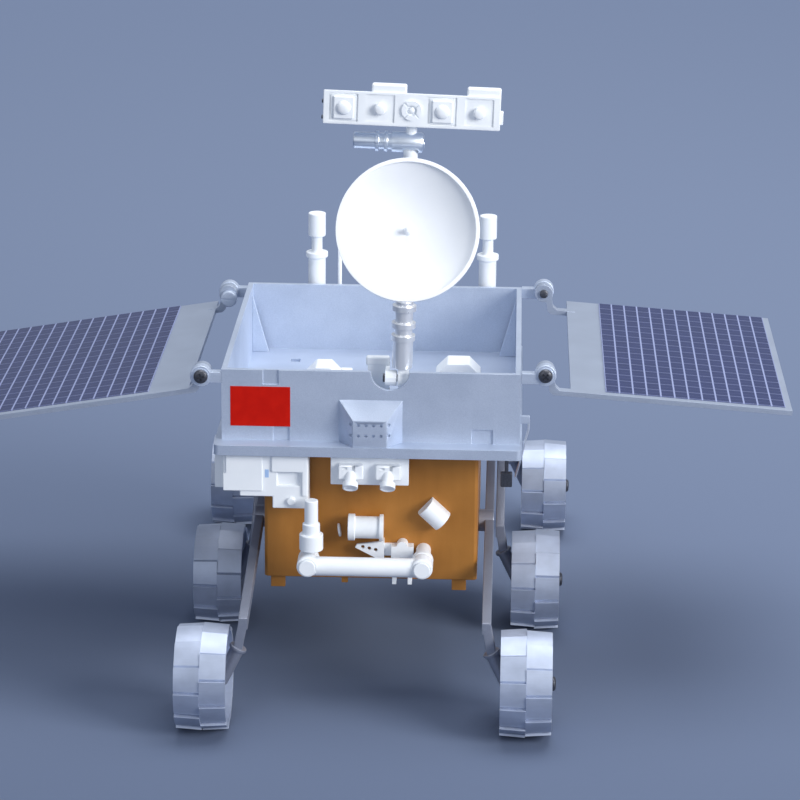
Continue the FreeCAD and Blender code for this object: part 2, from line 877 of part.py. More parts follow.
def lens_pad(x):
    half = lens_pad_size / 2
    corner = half - lens_pad_corner
    outline = [
        V(x - half, 0, -corner), V(x - half, 0, corner), V(x - corner, 0, half),
        V(x + corner, 0, half), V(x + half, 0, corner), V(x + half, 0, -corner),
        V(x + corner, 0, -half), V(x - corner, 0, -half),
    ]
    plate = prism(outline, V(0, -lens_pad_height, 0))
    plate.translate(V(0, head_front_y, lens_z))
    return plate


pad_face = head_front_y - lens_pad_height
lenses = []
for x, radius, height in (
    (lens_far_left, lens_dome_radius, lens_dome_height),
    (lens_near_left, lens_stud_radius, lens_stud_height),
    (lens_near_right, lens_dome_radius, lens_dome_height),
    (lens_far_right, lens_stud_radius, lens_stud_height),
):
    dome = rod_y(pad_face - height, pad_face, x, lens_z, radius)
    lenses.append(fused([lens_pad(x), dome]))
export("head_lenses", [leaned(s) for s in lenses])
ring = rod_y(pad_face, head_front_y, lens_ring_x, lens_z, ring_outer_radius)
opening = rod_y(pad_face, head_front_y, lens_ring_x, lens_z, ring_inner_radius)
export("head_ring", [leaned(ring.cut(opening))])

# Dish: a thin spun shell with a raised rim and a tang, drawn facing along Y
sphere_radius = (dish_radius ** 2 + dish_depth ** 2) / (2 * dish_depth)
rim_angle = math.asin(dish_radius / sphere_radius)
outer_radius = sphere_radius + dish_thickness


def dish_curve(radius, angles):
    return [(radius * math.sin(a), sphere_radius - radius * math.cos(a)) for a in angles]


seat_angle = math.asin(feed_seat_radius / sphere_radius)
seat_y = dish_curve(sphere_radius, [seat_angle])[0][1]
band_angles = [rim_angle * band / dish_bands for band in range(dish_bands)]
rim_inner = dish_radius - dish_rim_width / 2
rim_outer = dish_radius + dish_rim_width / 2
rim_low = dish_depth - dish_rim_height / 2
rim_high = dish_depth + dish_rim_height / 2
shell = spun(
    [(0, seat_y)] + dish_curve(sphere_radius, [seat_angle] + band_angles[1:])
    + [(rim_inner, dish_depth), (rim_inner, rim_high), (rim_outer, rim_high), (rim_outer, rim_low)]
    + dish_curve(outer_radius, reversed(band_angles)),
    dish_sides,
)
tang_y = -dish_thickness - dish_axis_gap
tang_half = dish_tang_width / 2
yoke_half = dish_yoke_height / 2
tang = fused([
    block(-tang_half, tang_half, tang_y, -dish_thickness / 2, -yoke_half, yoke_half),
    rod_x(-tang_half, tang_half, tang_y, 0, yoke_half),
]).cut(rod_x(-tang_half, tang_half, tang_y, 0, dish_pin_radius + running_clearance))
dish = fused([shell, tang])
feed = rod_y(seat_y, feed_length, 0, 0, feed_radius)


def aimed(shape):
    facing = turned(shape, origin, axis_z, 180)
    return turned(facing, origin, axis_x, -dish_elevation)


elevation = math.radians(dish_elevation)
facing = V(0, -math.cos(elevation), math.sin(elevation))
dish_vertex = V(dish_x, dish_y, dish_z) - facing * dish_depth
dish_pin_place = dish_vertex + facing * tang_y
for node, shape in (("dish", dish), ("dish_feed", feed)):
    placed = aimed(shape)
    placed.translate(dish_vertex)
    export(node, [leaned(placed)])

# Yoke on the mast that carries the dish's pin between two cheeks
pin_x, pin_y, pin_z = dish_pin_place.x, dish_pin_place.y, dish_pin_place.z
cheek_inner = tang_half + side_clearance
cheek_outer = cheek_inner + dish_yoke_thickness
cheek = fused([
    block(pin_x + cheek_inner, pin_x + cheek_outer, pin_y, mast_y, pin_z - yoke_half, pin_z + yoke_half),
    rod_x(pin_x + cheek_inner, pin_x + cheek_outer, pin_y, pin_z, yoke_half),
])
other_cheek = cheek.copy()
other_cheek.translate(V(-cheek_inner - cheek_outer, 0, 0))
bridge_y = pin_y + yoke_half + side_clearance
sleeve_radius = mast_upper_radius + dish_yoke_thickness
yoke = fused([
    cheek,
    other_cheek,
    block(pin_x - cheek_outer, pin_x + cheek_outer, bridge_y, mast_y, pin_z - yoke_half, pin_z + yoke_half),
    rod_x(pin_x - cheek_inner, pin_x + cheek_inner, pin_y, pin_z, dish_pin_radius, pin_sides),
    rod_z(pin_z - yoke_half, pin_z + yoke_half, mast_x, mast_y, sleeve_radius, turned_sides),
])
yoke = yoke.cut(rod_z(pin_z - yoke_half, pin_z + yoke_half, mast_x, mast_y, mast_upper_radius, turned_sides))
export("dish_yoke", [leaned(yoke)])

# Instrument housing at the left, hung under the front ledge
side_low = deck_bottom - instrument_side_drop
main_low = deck_bottom - instrument_main_drop
main_back = instrument_front_y + instrument_main_depth
recess = block(
    instrument_recess_left, instrument_recess_right,
    instrument_front_y, instrument_front_y + instrument_recess_depth,
    instrument_recess_low, instrument_recess_top,
)
export("instrument_box", [fused([
    block(instrument_left, instrument_split, instrument_front_y, main_back, main_low, deck_bottom),
    block(instrument_strip_left, instrument_right, instrument_front_y, main_back, side_low, deck_bottom),
    block(instrument_left - instrument_edge_width, instrument_left,
          instrument_front_y + instrument_edge_width, main_back, main_low, deck_bottom),
    block(instrument_low_left, instrument_right, instrument_front_y, main_back,
          side_low - instrument_low_drop, side_low),
    rod_y(instrument_front_y - instrument_stud_height, instrument_front_y,
          instrument_stud_x, instrument_stud_z, instrument_stud_radius),
]).cut(recess)])

# Pair of front cameras on a plate under the ledge
plate_back = camera_plate_front_y + camera_plate_thickness
plate_low = deck_bottom - camera_plate_drop
export("camera_plate", [block(
    camera_plate_left, camera_plate_right, camera_plate_front_y, plate_back, plate_low, deck_bottom,
)])
tilt = math.radians(camera_tilt)
aim = V(0, -math.sin(tilt), -math.cos(tilt))
block_low = plate_low + camera_block_rise
cameras = []
for x in (camera_left_x, camera_right_x):
    body = block(
        x - camera_block_width / 2, x + camera_block_width / 2,
        camera_plate_front_y - camera_block_depth, camera_plate_front_y,
        block_low, block_low + camera_block_height,
    )
    start = V(x, camera_plate_front_y - camera_block_depth / 2, block_low + camera_block_height / 2)
    reach = camera_barrel_length + camera_block_height / 2
    barrel = rod(start, aim, camera_barrel_radius, reach)
    flange = rod(start + aim * reach, aim, camera_flange_radius, camera_flange_height)
    behind = block(
        x - camera_block_width, x + camera_block_width, camera_plate_front_y, box_front_y,
        box_bottom, deck_bottom,
    )
    cameras.append(fused([body, barrel, flange]).cut(behind))
export("front_cameras", cameras)

# Flanged drum, tilted block and bracket on the face of the box
drum_y = box_front_y - drum_standoff
drum_inner_left = drum_left + drum_left_flange
drum_inner_right = drum_right - drum_right_flange
export("box_drum", [fused([
    rod_x(drum_left, drum_right, drum_y, drum_z, drum_radius),
    rod_x(drum_left, drum_inner_left, drum_y, drum_z, drum_flange_radius),
    rod_x(drum_inner_right, drum_right, drum_y, drum_z, drum_flange_radius),
    block(drum_inner_left, drum_inner_right, drum_y, box_front_y,
          drum_z - drum_radius / 2, drum_z + drum_radius / 2),
])])
cube = block(-cube_width / 2, cube_width / 2, -cube_depth, 0, -cube_height / 2, cube_height / 2)
cube = turned(cube, origin, axis_y, cube_turn)
cube.translate(V(cube_x, box_front_y, cube_z))
export("box_cube", [cube])
bracket_y = box_front_y - bracket_block_depth
bracket_end = bracket_middle + bracket_web
arrow = prism(
    [V(bracket_left, bracket_y, bracket_tip_z - 0.5), V(bracket_left + 0.5, bracket_y, bracket_tip_z + 0.4),
     V(bracket_end, bracket_y, bracket_top), V(bracket_end, bracket_y, bracket_low),
     V(bracket_foot_x, bracket_y, bracket_low)],
    V(0, bracket_plate_thickness, 0),
)
for hole_share in (0.3, 0.55, 0.8):
    hole_x = bracket_left + hole_share * (bracket_middle - bracket_left)
    hole_z = bracket_tip_z + 0.2 - hole_share * (bracket_tip_z - bracket_low) * 0.45
    hole = rod_y(bracket_y, bracket_y + bracket_plate_thickness, hole_x, hole_z, bracket_hole_radius,
                 hole_sides)
    arrow = arrow.cut(hole)
block_middle = (bracket_block_left + bracket_right) / 2
prongs = []
for side in (-1, 1):
    prong_x = block_middle + side * prong_pitch / 2
    prongs.append(block(
        prong_x - prong_width / 2, prong_x + prong_width / 2, bracket_y, box_front_y,
        box_bottom - prong_drop, bracket_side_top,
    ).cut(block(
        prong_x - prong_width, prong_x + prong_width, bracket_y + prong_width, box_front_y,
        box_bottom - prong_drop, box_bottom,
    )))
export("box_bracket", [fused([
    arrow,
    block(bracket_middle, bracket_end, bracket_y, box_front_y, bracket_low, bracket_top),
    block(bracket_middle, bracket_right, box_front_y - bracket_plate_thickness, box_front_y,
          bracket_low, bracket_side_top),
    block(bracket_block_left, bracket_right, bracket_y, box_front_y, bracket_low, bracket_side_top),
    rod_y(bracket_y, box_front_y, block_middle, bracket_top - bracket_hump_radius, bracket_hump_radius),
] + prongs)])

# Sampling arm: fixed shoulder, link tube and stepped upright, both turning about Y
link_front = sample_y - sample_tube_radius
link_back = sample_y + sample_tube_radius
disc_front = link_back + sample_plate_gap
disc_back = disc_front + joint_disc_depth
cap_back = link_front - sample_plate_gap
pin_bore_radius = joint_pin_radius + running_clearance
export("sample_shoulder", [fused([
    rod_y(disc_back, box_front_y, shoulder_x, shoulder_z, stub_radius),
    rod_y(disc_front, disc_back, shoulder_x, shoulder_z, joint_disc_radius),
    rod_y(cap_back, disc_front, shoulder_x, shoulder_z, joint_pin_radius, pin_sides),
])])
link = fused([
    rod_x(elbow_x, shoulder_x, sample_y, sample_tube_z, sample_tube_radius),
    rod_y(link_front, link_back, shoulder_x, shoulder_z, joint_disc_radius),
    rod_y(link_front, link_back, elbow_x, shoulder_z, joint_disc_radius),
])
for x in (shoulder_x, elbow_x):
    link = link.cut(rod_y(link_front, link_back, x, shoulder_z, pin_bore_radius))
export("sample_link", [link])
forearm_y = sample_y + joint_disc_depth / 2
forearm_step = forearm_bottom + forearm_low_height
forearm_neck = forearm_step + forearm_mid_height
export("sample_upright", [fused([
    rod_y(disc_front, disc_back, elbow_x, shoulder_z, joint_disc_radius),
    rod_y(cap_back, disc_front, elbow_x, shoulder_z, joint_pin_radius, pin_sides),
    block(elbow_x - stub_radius, elbow_x + stub_radius, disc_front, disc_back,
          shoulder_z, forearm_bottom + forearm_low_height / 2),
    rod_z(forearm_bottom, forearm_step, forearm_x, forearm_y, forearm_low_radius),
    rod_z(forearm_step, forearm_neck, forearm_x, forearm_y, forearm_mid_radius),
    rod_z(forearm_neck, forearm_neck + forearm_top_height, forearm_x, forearm_y, forearm_top_radius),
])])
for node, x in (("shoulder_cap", shoulder_x), ("elbow_cap", elbow_x)):
    export(node, [rod_y(cap_back - joint_cap_height, cap_back, x, shoulder_z, joint_cap_radius)])

# White posts and the whip rod on the ledge behind the back wall
posts = []
post_y = tray_length + post_setback
for x in (post_left_x, post_right_x):
    collar_top = post_collar_z + post_collar_height
    posts.append(fused([
        rod_z(deck_top, post_collar_z, x, post_y, post_base_radius),
        rod_z(post_collar_z, collar_top, x, post_y, post_collar_radius),
        rod_z(collar_top, post_neck_top, x, post_y, post_neck_radius),
        rod_z(post_neck_top, post_cap_top, x, post_y, post_cap_radius),
    ]))
export("rear_posts", posts)
export("whip_rod", [rod_z(deck_top, whip_top, whip_x, post_y, whip_radius)])

# White wedge-shaped blocks on the deck inside the tray
wedges = []
for x, width, height in (
    (block_left_x, block_left_width, block_left_height),
    (block_right_x, block_right_width, block_right_height),
):
    outline = [
        V(x - width / 2, block_y, deck_top), V(x + width / 2, block_y, deck_top),
        V(x + width / 2, block_y, deck_top + height - block_slope),
        V(x + width / 2 - block_slope, block_y, deck_top + height),
        V(x - width / 2 + block_slope, block_y, deck_top + height),
        V(x - width / 2, block_y, deck_top + height - block_slope),
    ]
    wedges.append(prism(outline, V(0, block_depth, 0)))
export("deck_blocks", wedges)
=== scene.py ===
import math
import bpy
from mathutils import Euler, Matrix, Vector


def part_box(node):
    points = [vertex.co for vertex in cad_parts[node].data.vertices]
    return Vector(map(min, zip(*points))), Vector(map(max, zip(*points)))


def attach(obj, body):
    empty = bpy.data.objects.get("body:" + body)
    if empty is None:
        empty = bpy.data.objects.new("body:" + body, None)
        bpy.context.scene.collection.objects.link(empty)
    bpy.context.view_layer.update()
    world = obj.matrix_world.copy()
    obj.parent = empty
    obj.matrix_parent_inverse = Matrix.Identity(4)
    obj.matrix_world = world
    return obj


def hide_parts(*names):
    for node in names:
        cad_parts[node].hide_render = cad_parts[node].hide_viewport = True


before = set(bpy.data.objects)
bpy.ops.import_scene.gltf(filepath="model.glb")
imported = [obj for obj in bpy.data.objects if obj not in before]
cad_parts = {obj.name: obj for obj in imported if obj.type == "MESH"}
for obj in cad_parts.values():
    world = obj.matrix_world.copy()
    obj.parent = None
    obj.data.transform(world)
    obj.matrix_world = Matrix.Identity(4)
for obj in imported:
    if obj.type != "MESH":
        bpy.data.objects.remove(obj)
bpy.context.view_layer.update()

# Camera: a long lens that stands in front of the model and looks down on it, as the photograph
# was taken.
camera_degrees = (72.8526, -0.4957, 2.1523)
bpy.ops.object.select_all(action="DESELECT")
bpy.ops.object.camera_add(
    location=(0.0442, -0.90548, 0.34905),
    rotation=[math.radians(angle) for angle in camera_degrees],
)
camera = bpy.context.object
camera.name = "photo_camera"
camera.data.sensor_width = 36
camera.data.lens = 144
bpy.context.scene.camera = camera

# Studio light: a key lamp at the front right, a large weak one at the left, a soft one overhead,
# and a pale bluish room.
lamp_target = Vector((0, 0, 0.08))
for lamp_name, lamp_place, lamp_size, lamp_watts, lamp_colour in (
    ("key_lamp", (0.78, -0.60, 0.46), 0.45, 9.5, (1.0, 0.99, 0.97)),
    ("fill_lamp", (-0.5, -1.2, 0.42), 0.9, 1.9, (0.92, 0.96, 1.0)),
    ("top_lamp", (0.12, 0.05, 0.95), 0.7, 6.1, (0.98, 0.99, 1.0)),
):
    bpy.ops.object.light_add(type="AREA", location=lamp_place)
    lamp = bpy.context.object
    lamp.name = lamp_name
    lamp.data.shape = "SQUARE"
    lamp.data.size = lamp_size
    lamp.data.energy = lamp_watts
    lamp.data.color = lamp_colour
    lamp.rotation_euler = (lamp_target - lamp.location).to_track_quat("-Z", "Y").to_euler()
room = bpy.data.worlds.new("pale_room")
bpy.context.scene.world = room
room.use_nodes = True
room_light = room.node_tree.nodes["Background"]
room_light.inputs["Color"].default_value = (0.72, 0.80, 0.95, 1)
room_light.inputs["Strength"].default_value = 0.50
bpy.context.scene.view_settings.view_transform = "Standard"

# Tray: the deck plate with its ledge, and four upright walls. The real one is a single zinc
# casting with small fillets, sprayed with a satin silver-blue lacquer that has fine flakes in it.
millimetre = 0.001


def pick(*pieces):
    bpy.ops.object.select_all(action="DESELECT")
    for piece in pieces:
        piece.select_set(True)
    bpy.context.view_layer.objects.active = pieces[0]


def open_mesh(piece):
    """Edit mode on one piece, with all of it selected."""
    pick(piece)
    bpy.ops.object.mode_set(mode="EDIT")
    bpy.ops.mesh.select_all(action="SELECT")


def close_mesh():
    bpy.ops.object.mode_set(mode="OBJECT")


def applied(piece, kind, **settings):
    modifier = piece.modifiers.new(kind.title(), kind)
    for setting, value in settings.items():
        setattr(modifier, setting, value)
    pick(piece)
    bpy.ops.object.modifier_apply(modifier=modifier.name)
    return piece


def smoothed(piece, angle):
    """Smooth shading, with a sharp edge wherever two faces meet at more than the angle."""
    pick(piece)
    bpy.ops.object.shade_smooth_by_angle(angle=math.radians(angle))
    return piece


def crisp(piece, angle=38):
    """Smooth the small faces between sharp edges and keep the large faces flat."""
    return applied(smoothed(piece, angle), "WEIGHTED_NORMAL", keep_sharp=True)


def rounded(piece, width, segments=2, angle=30):
    applied(
        piece, "BEVEL", width=width * millimetre, segments=segments, limit_method="ANGLE",
        angle_limit=math.radians(angle),
    )
    return crisp(piece, angle + 8)


def cut(piece, *tools, operation="DIFFERENCE"):
    for tool in tools:
        applied(piece, "BOOLEAN", object=tool, operation=operation, solver="EXACT")
        bpy.data.objects.remove(tool)
    return piece


def united(piece, *others):
    return cut(piece, *others, operation="UNION")


def merged(piece):
    """Weld a mesh of loose triangles and make its flat faces whole."""
    open_mesh(piece)
    bpy.ops.mesh.remove_doubles(threshold=0.002 * millimetre)
    bpy.ops.mesh.dissolve_limited(angle_limit=math.radians(1))
    close_mesh()
    return piece


def copied(name, model):
    """A copy of a model, with a mesh of its own."""
    piece = bpy.data.objects.new(name, model.data.copy())
    bpy.context.scene.collection.objects.link(piece)
    return piece


def cast(node, name=None):
    """A copy of a solid, merged."""
    return merged(copied(name or node + "_piece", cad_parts[node]))


def fixed(piece, body, finish):
    piece.data.materials.clear()
    piece.data.materials.append(finish.material)
    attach(piece, body)
    return piece


def fitted(piece, body, finish, slot, *nodes):
    fixed(piece, body, finish)
    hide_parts(*nodes)
    return piece


class Flow:
    """One socket in a finish. Arithmetic on it adds the Math nodes."""

    def __init__(self, finish, socket):
        self.finish = finish
        self.socket = socket

    def maths(self, operation, first, second):
        return self.finish.node(
            "ShaderNodeMath", {"operation": operation}, {0: first, 1: second},
        )

    def __add__(self, other):
        return self.maths("ADD", self, other)

    def __radd__(self, other):
        return self.maths("ADD", other, self)

    def __sub__(self, other):
        return self.maths("SUBTRACT", self, other)

    def __rsub__(self, other):
        return self.maths("SUBTRACT", other, self)

    def __mul__(self, other):
        return self.maths("MULTIPLY", self, other)

    def __rmul__(self, other):
        return self.maths("MULTIPLY", other, self)


class Finish:
    """A surface finish, built node by node."""

    def __init__(self, name, **sockets):
        self.material = bpy.data.materials.new(name)
        self.material.use_nodes = True
        self.shader = self.material.node_tree.nodes["Principled BSDF"]
        for socket, value in sockets.items():
            self.shader.inputs[socket.replace("_", " ")].default_value = value
        self.spot = self.node("ShaderNodeTexCoord", {}, {}, "Object")

    def node(self, kind, settings, inputs, output=0):
        new = self.material.node_tree.nodes.new(kind)
        for setting, value in settings.items():
            setattr(new, setting, value)
        for socket, value in inputs.items():
            if isinstance(value, Flow):
                self.material.node_tree.links.new(value.socket, new.inputs[socket])
            else:
                new.inputs[socket].default_value = value
        return Flow(self, new.outputs[output])

    def feed(self, **flows):
        for socket, flow in flows.items():
            self.material.node_tree.links.new(
                flow.socket, self.shader.inputs[socket.replace("_", " ")],
            )

    def noise(self, size, detail=2.0, roughness=0.5, where=None):
        """A cloudy pattern; size is the width of one cloud in millimetres."""
        return self.node(
            "ShaderNodeTexNoise", {},
            {"Vector": where or self.spot, "Scale": 1 / (size * millimetre), "Detail": detail,
             "Roughness": roughness},
        )

    def stretched(self, scale):
        """The object's coordinates, drawn out so that a pattern turns into streaks."""
        return self.node("ShaderNodeMapping", {}, {"Vector": self.spot, "Scale": scale})

    def blend(self, share, first, second):
        return self.node(
            "ShaderNodeMix", {"data_type": "RGBA"}, {0: share, 6: first, 7: second}, 2,
        )

    def ramp(self, value, low, high):
        return self.node(
            "ShaderNodeMapRange", {"clamp": True}, {0: value, 1: low, 2: high, 3: 0.0, 4: 1.0},
        )

    def relief(self, height, depth):
        """Raise the surface by a pattern; depth is in millimetres."""
        self.feed(Normal=self.node(
            "ShaderNodeBump", {}, {"Strength": 1.0, "Distance": depth * millimetre,
                                   "Height": height},
        ))


def lacquer(name, pale, deep):
    """Sprayed lacquer with metal flakes: soft clouds, a fine grain, and a faint orange peel."""
    finish = Finish(name, Metallic=0.55)
    clouds = finish.ramp(finish.noise(14, 3), 0.35, 0.65)
    flakes = finish.ramp(finish.noise(0.22, 1), 0.30, 0.75)
    finish.feed(
        Base_Color=finish.blend(clouds * 0.45 + flakes * 0.55, deep, pale),
        Roughness=0.34 + 0.16 * flakes,
    )
    finish.relief(finish.noise(0.55, 2), 0.02)
    return finish


tray_silver = lacquer("tray_silver_lacquer", (0.64, 0.71, 0.84, 1), (0.50, 0.57, 0.70, 1))
tray_fillet = 0.22
tray_walls = ("wall_front", "wall_back", "wall_left", "wall_right")
tray = united(cast("deck_plate", "tray"), *[cast(wall) for wall in tray_walls])
rounded(merged(tray), tray_fillet)
fitted(tray, "rover_body", tray_silver, "tray_silver", "deck_plate", *tray_walls)
ribs = rounded(cast("corner_ribs"), 0.15)
fitted(ribs, "rover_body", tray_silver, "tray_silver", "corner_ribs")

# Label: a small rectangle of thin film, printed plain red and stuck to the front wall at the left.
# Places are in millimetres on the maker's drawing. Its X is zero at the tray's middle, its Y on
# the outside of the front wall and grows to the back, and its Z on the table.
wall_low, wall_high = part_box("wall_front")
datum = Vector(((wall_low.x + wall_high.x) / 2, wall_low.y, 0))


def place(x, y, z):
    return datum + Vector((x, y, z)) * millimetre


def settled(name):
    """Name the newest piece and put its place, turn and size into its mesh."""
    piece = bpy.context.object
    piece.name = name
    bpy.ops.object.transform_apply(location=True, rotation=True, scale=True)
    return piece


def slab(name, low, high, edge=0.0, segments=2):
    """A block between two corners; edge is the radius that rounds it."""
    bpy.ops.mesh.primitive_cube_add(size=1, location=(low + high) / 2, scale=high - low)
    piece = settled(name)
    return rounded(piece, edge, segments) if edge else piece


film_thickness = 0.12
label = slab(
    "plain_label", place(-39.1, -film_thickness, 78.9), place(-22.4, 0.1, 90.4), edge=0.05,
)
label_red = Finish("printed_red", Metallic=0.0, Specular_IOR_Level=0.12)
label_red.feed(
    Base_Color=label_red.blend(
        label_red.noise(3.0, 3), (0.46, 0.005, 0.002, 1), (0.62, 0.012, 0.004, 1),
    ),
    Roughness=0.34 + 0.12 * label_red.noise(0.4, 2),
)
label_red.relief(label_red.noise(0.8, 2), 0.01)
fixed(label, "rover_body", label_red)

# Table: a plain slate-blue surface that runs out of the picture on every side. Its colour runs
# from dark at the front to pale at the back: painted shade and light for how the light falls
# across the cloth.
table_near_y = -0.2
table_far_y = 1.6
bpy.ops.mesh.primitive_plane_add(size=9.0, location=(0, 1.5, 0))
table = settled("slate_table")
table_finish = Finish("slate_table", Roughness=0.9, Specular_IOR_Level=0.1)
table_falloff_y = table_finish.node("ShaderNodeSeparateXYZ", {}, {"Vector": table_finish.spot}, "Y")
# Painted light: the colour ramps from a shaded front to a lit back.
table_finish.feed(Base_Color=table_finish.blend(
    table_finish.ramp(table_falloff_y, table_near_y, table_far_y),
    (0.105, 0.135, 0.21, 1), (0.46, 0.55, 0.76, 1),
))
table.data.materials.append(table_finish.material)

# Side tab: a small cast tab on the right wall holds a thin bright wire that runs down past the
# ledge to a dark bracket under the deck.
wire_radius = 0.32
wire_points = [
    (44.0, 1.0, 82.0), (43.9, 1.0, 79.0), (42.9, 1.0, 75.2), (41.7, 2.5, 69.0), (40.6, 6.0, 63.6),
]


def turned(name, start, toward, profile, sides=48, edge=0.0):
    """A lathe piece: profile lists the distances along its axis and the radii, in millimetres."""
    axis = Vector(toward).normalized()
    distance, radius = profile[0]
    bpy.ops.mesh.primitive_circle_add(
        vertices=sides, radius=radius * millimetre, fill_type="NGON",
        location=start + axis * distance * millimetre,
        rotation=axis.to_track_quat("Z", "Y").to_euler(),
    )
    piece = settled(name)
    open_mesh(piece)
    for next_distance, next_radius in profile[1:]:
        step = axis * (next_distance - distance) * millimetre
        bpy.ops.mesh.extrude_region_move(TRANSFORM_OT_translate={"value": step})
        if next_radius != radius:
            bpy.ops.transform.resize(
                value=[next_radius / radius] * 3,
                center_override=start + axis * next_distance * millimetre,
            )
        distance, radius = next_distance, next_radius
    bpy.ops.mesh.select_all(action="SELECT")
    bpy.ops.mesh.normals_make_consistent(inside=False)
    close_mesh()
    smoothed(piece, 35)
    return rounded(piece, edge) if edge else piece


def joined(name, *pieces):
    pick(*pieces)
    bpy.ops.object.join()
    pieces[0].name = name
    return pieces[0]


tab = slab("side_tab", place(41.4, 0.3, 80.9), place(44.2, 1.5, 83.2), edge=0.2)
fixed(tab, "rover_body", tray_silver)
wire_pieces = []
for first, last in zip(wire_points, wire_points[1:]):
    span = place(*last) - place(*first)
    wire_pieces.append(turned(
        "wire", place(*first), span,
        ((0, wire_radius), (span.length / millimetre, wire_radius)), sides=16,
    ))
    bpy.ops.mesh.primitive_uv_sphere_add(
        segments=16, ring_count=8, radius=wire_radius * millimetre, location=place(*last),
    )
    wire_pieces.append(settled("wire_bend"))
wire_steel = Finish("drawn_steel", Metallic=0.7, Roughness=0.3)
wire_steel.feed(Base_Color=wire_steel.blend(
    wire_steel.noise(1.5, 2), (0.62, 0.66, 0.74, 1), (0.82, 0.86, 0.93, 1),
))
fixed(joined("side_wire", *wire_pieces), "rover_body", wire_steel)

# Vent housing: a small casting with three sloped sides and two rows of drilled holes, screwed on
# from inside and sprayed with the tray.
vent_depth = 5.2
vent_half_width = 8.9
vent_half_face = 4.7
vent_low_z = 74.8
vent_high_z = 87.1
vent_face_high_z = 82.5
vent = slab(
    "vent_housing_piece", place(-vent_half_width, -vent_depth, vent_low_z),
    place(vent_half_width, 0, vent_high_z),
)
vent_middle = place(0, -vent_depth / 2, (vent_low_z + vent_high_z) / 2)
for corner in vent.data.vertices:
    if corner.co.y < vent_middle.y:
        sideways = math.copysign(vent_half_face, corner.co.x - datum.x)
        corner.co.x = place(sideways, 0, 0).x
        if corner.co.z > vent_middle.z:
            corner.co.z = place(0, 0, vent_face_high_z).z
hole_radius = 0.45
hole_depth = 0.8
vent_holes = []
for hole_x in (-5.25, -3.15, -1.05, 1.05, 3.15, 5.25):
    beyond = max(abs(hole_x) - vent_half_face, 0) / (vent_half_width - vent_half_face)
    for hole_z in (78.2, 81.25):
        vent_holes.append(turned(
            "hole", place(hole_x, -vent_depth * (1 - beyond) + hole_depth, hole_z), (0, -1, 0),
            ((0, hole_radius), (3, hole_radius)), sides=20,
        ))
rounded(vent, 0.12, angle=20)
cut(vent, joined("vent_holes", *vent_holes))
smoothed(vent, 38)
fitted(vent, "rover_body", tray_silver, "tray_silver", "vent_housing")


# Deck blocks: wedge-shaped blocks that stand on the deck inside the tray. They and the other
# white fittings are injection-moulded in a cool white, with a slight shine and soft edges.
def moulded(name, pale, shade, gloss=0.34):
    finish = Finish(name, Metallic=0.0, Specular_IOR_Level=0.45)
    clouds = finish.ramp(finish.noise(9, 3), 0.3, 0.7)
    finish.feed(
        Base_Color=finish.blend(clouds, shade, pale),
        Roughness=gloss + 0.10 * finish.noise(0.7, 2),
    )
    finish.relief(finish.noise(0.35, 2), 0.008)
    return finish


def white_fitted(piece, body, node):
    return fitted(piece, body, white_moulding, "white_plastic", node)


white_moulding = moulded("white_moulding", (0.91, 0.94, 0.97, 1), (0.87, 0.905, 0.945, 1))
white_fitted(rounded(cast("deck_blocks"), 0.35), "rover_body", "deck_blocks")

# Deck fittings: a flat strip beside the left block and a cross-piece on top of the mast's foot,
# both white mouldings.
for low, high, edge in (
    ((-10.2, 33.4, 74.7), (-6.9, 35.4, 85.9), 0.3), ((-1.8, 8.7, 94.4), (4.85, 11.1, 97.0), 0.6),
):
    fitting = slab("deck_fitting", place(*low), place(*high), edge, segments=3)
    fixed(fitting, "rover_body", white_moulding)

# Rear posts: two turned white posts with a collar, a slim neck and a cap, pressed into the ledge,
# and a thin whip rod beside the left one.
post_y = 97.2
ledge_z = 74.8
post_profile = (
    (0, 2.65), (27.8, 2.65), (27.8, 3.35), (29.5, 3.35), (29.5, 1.65), (34.4, 1.65), (34.4, 2.65),
    (41.6, 2.65),
)
posts = [
    turned("post", place(x, post_y, ledge_z), (0, 0, 1), post_profile, edge=0.3)
    for x in (-21.0, 31.1)
]
white_fitted(joined("rear_posts_piece", *posts), "rover_body", "rear_posts")
whip = turned(
    "whip", place(-14.0, post_y, ledge_z), (0, 0, 1), ((0, 0.6), (36.6, 0.6), (37.1, 0.35)),
    sides=24,
)
white_fitted(whip, "rover_body", "whip_rod")

# Wing hinges: a cast arm on each corner of the tray ends in a round boss with a stepped ring,
# and a dark pan-head cross screw is driven into its pin.
hinge_place = {"right": (48.3, 95.0), "left": (-47.3, 93.0)}
hinge_arm_z = {"right": 94.0, "left": 92.7}
back_y = 93.0
hinge_root_x = 41.6
hinge_half_height = 1.55
hinge_depth = 3.0
pin_length = 3.5
proud = 0.02
screw_dark = Finish("blackened_steel", Metallic=0.85)
screw_dark.feed(
    Base_Color=screw_dark.blend(
        screw_dark.noise(0.5, 3), (0.060, 0.062, 0.072, 1), (0.15, 0.155, 0.18, 1),
    ),
    Roughness=0.30 + 0.22 * screw_dark.noise(0.3, 2),
)


def cross_screw(name, start, toward, radius, height, slot_turn=0.5):
    """A pan-head screw with a cross recess in its face."""
    head = turned(name, start, toward, (
        (0, radius), (height * 0.45, radius), (height * 0.8, radius * 0.86),
        (height, radius * 0.55),
    ), sides=40, edge=0.06)
    axis = Vector(toward).normalized()
    upright_turn = axis.to_track_quat("Z", "Y")
    for turn in (slot_turn, slot_turn + math.pi / 2):
        bpy.ops.mesh.primitive_cube_add(
            size=1, location=start + axis * height * millimetre,
            scale=Vector((radius * 1.15, radius * 0.26, height * 0.9)) * millimetre,
            rotation=(upright_turn @ Euler((0, 0, turn)).to_quaternion()).to_euler(),
        )
        cut(head, settled("slot"))
    return head


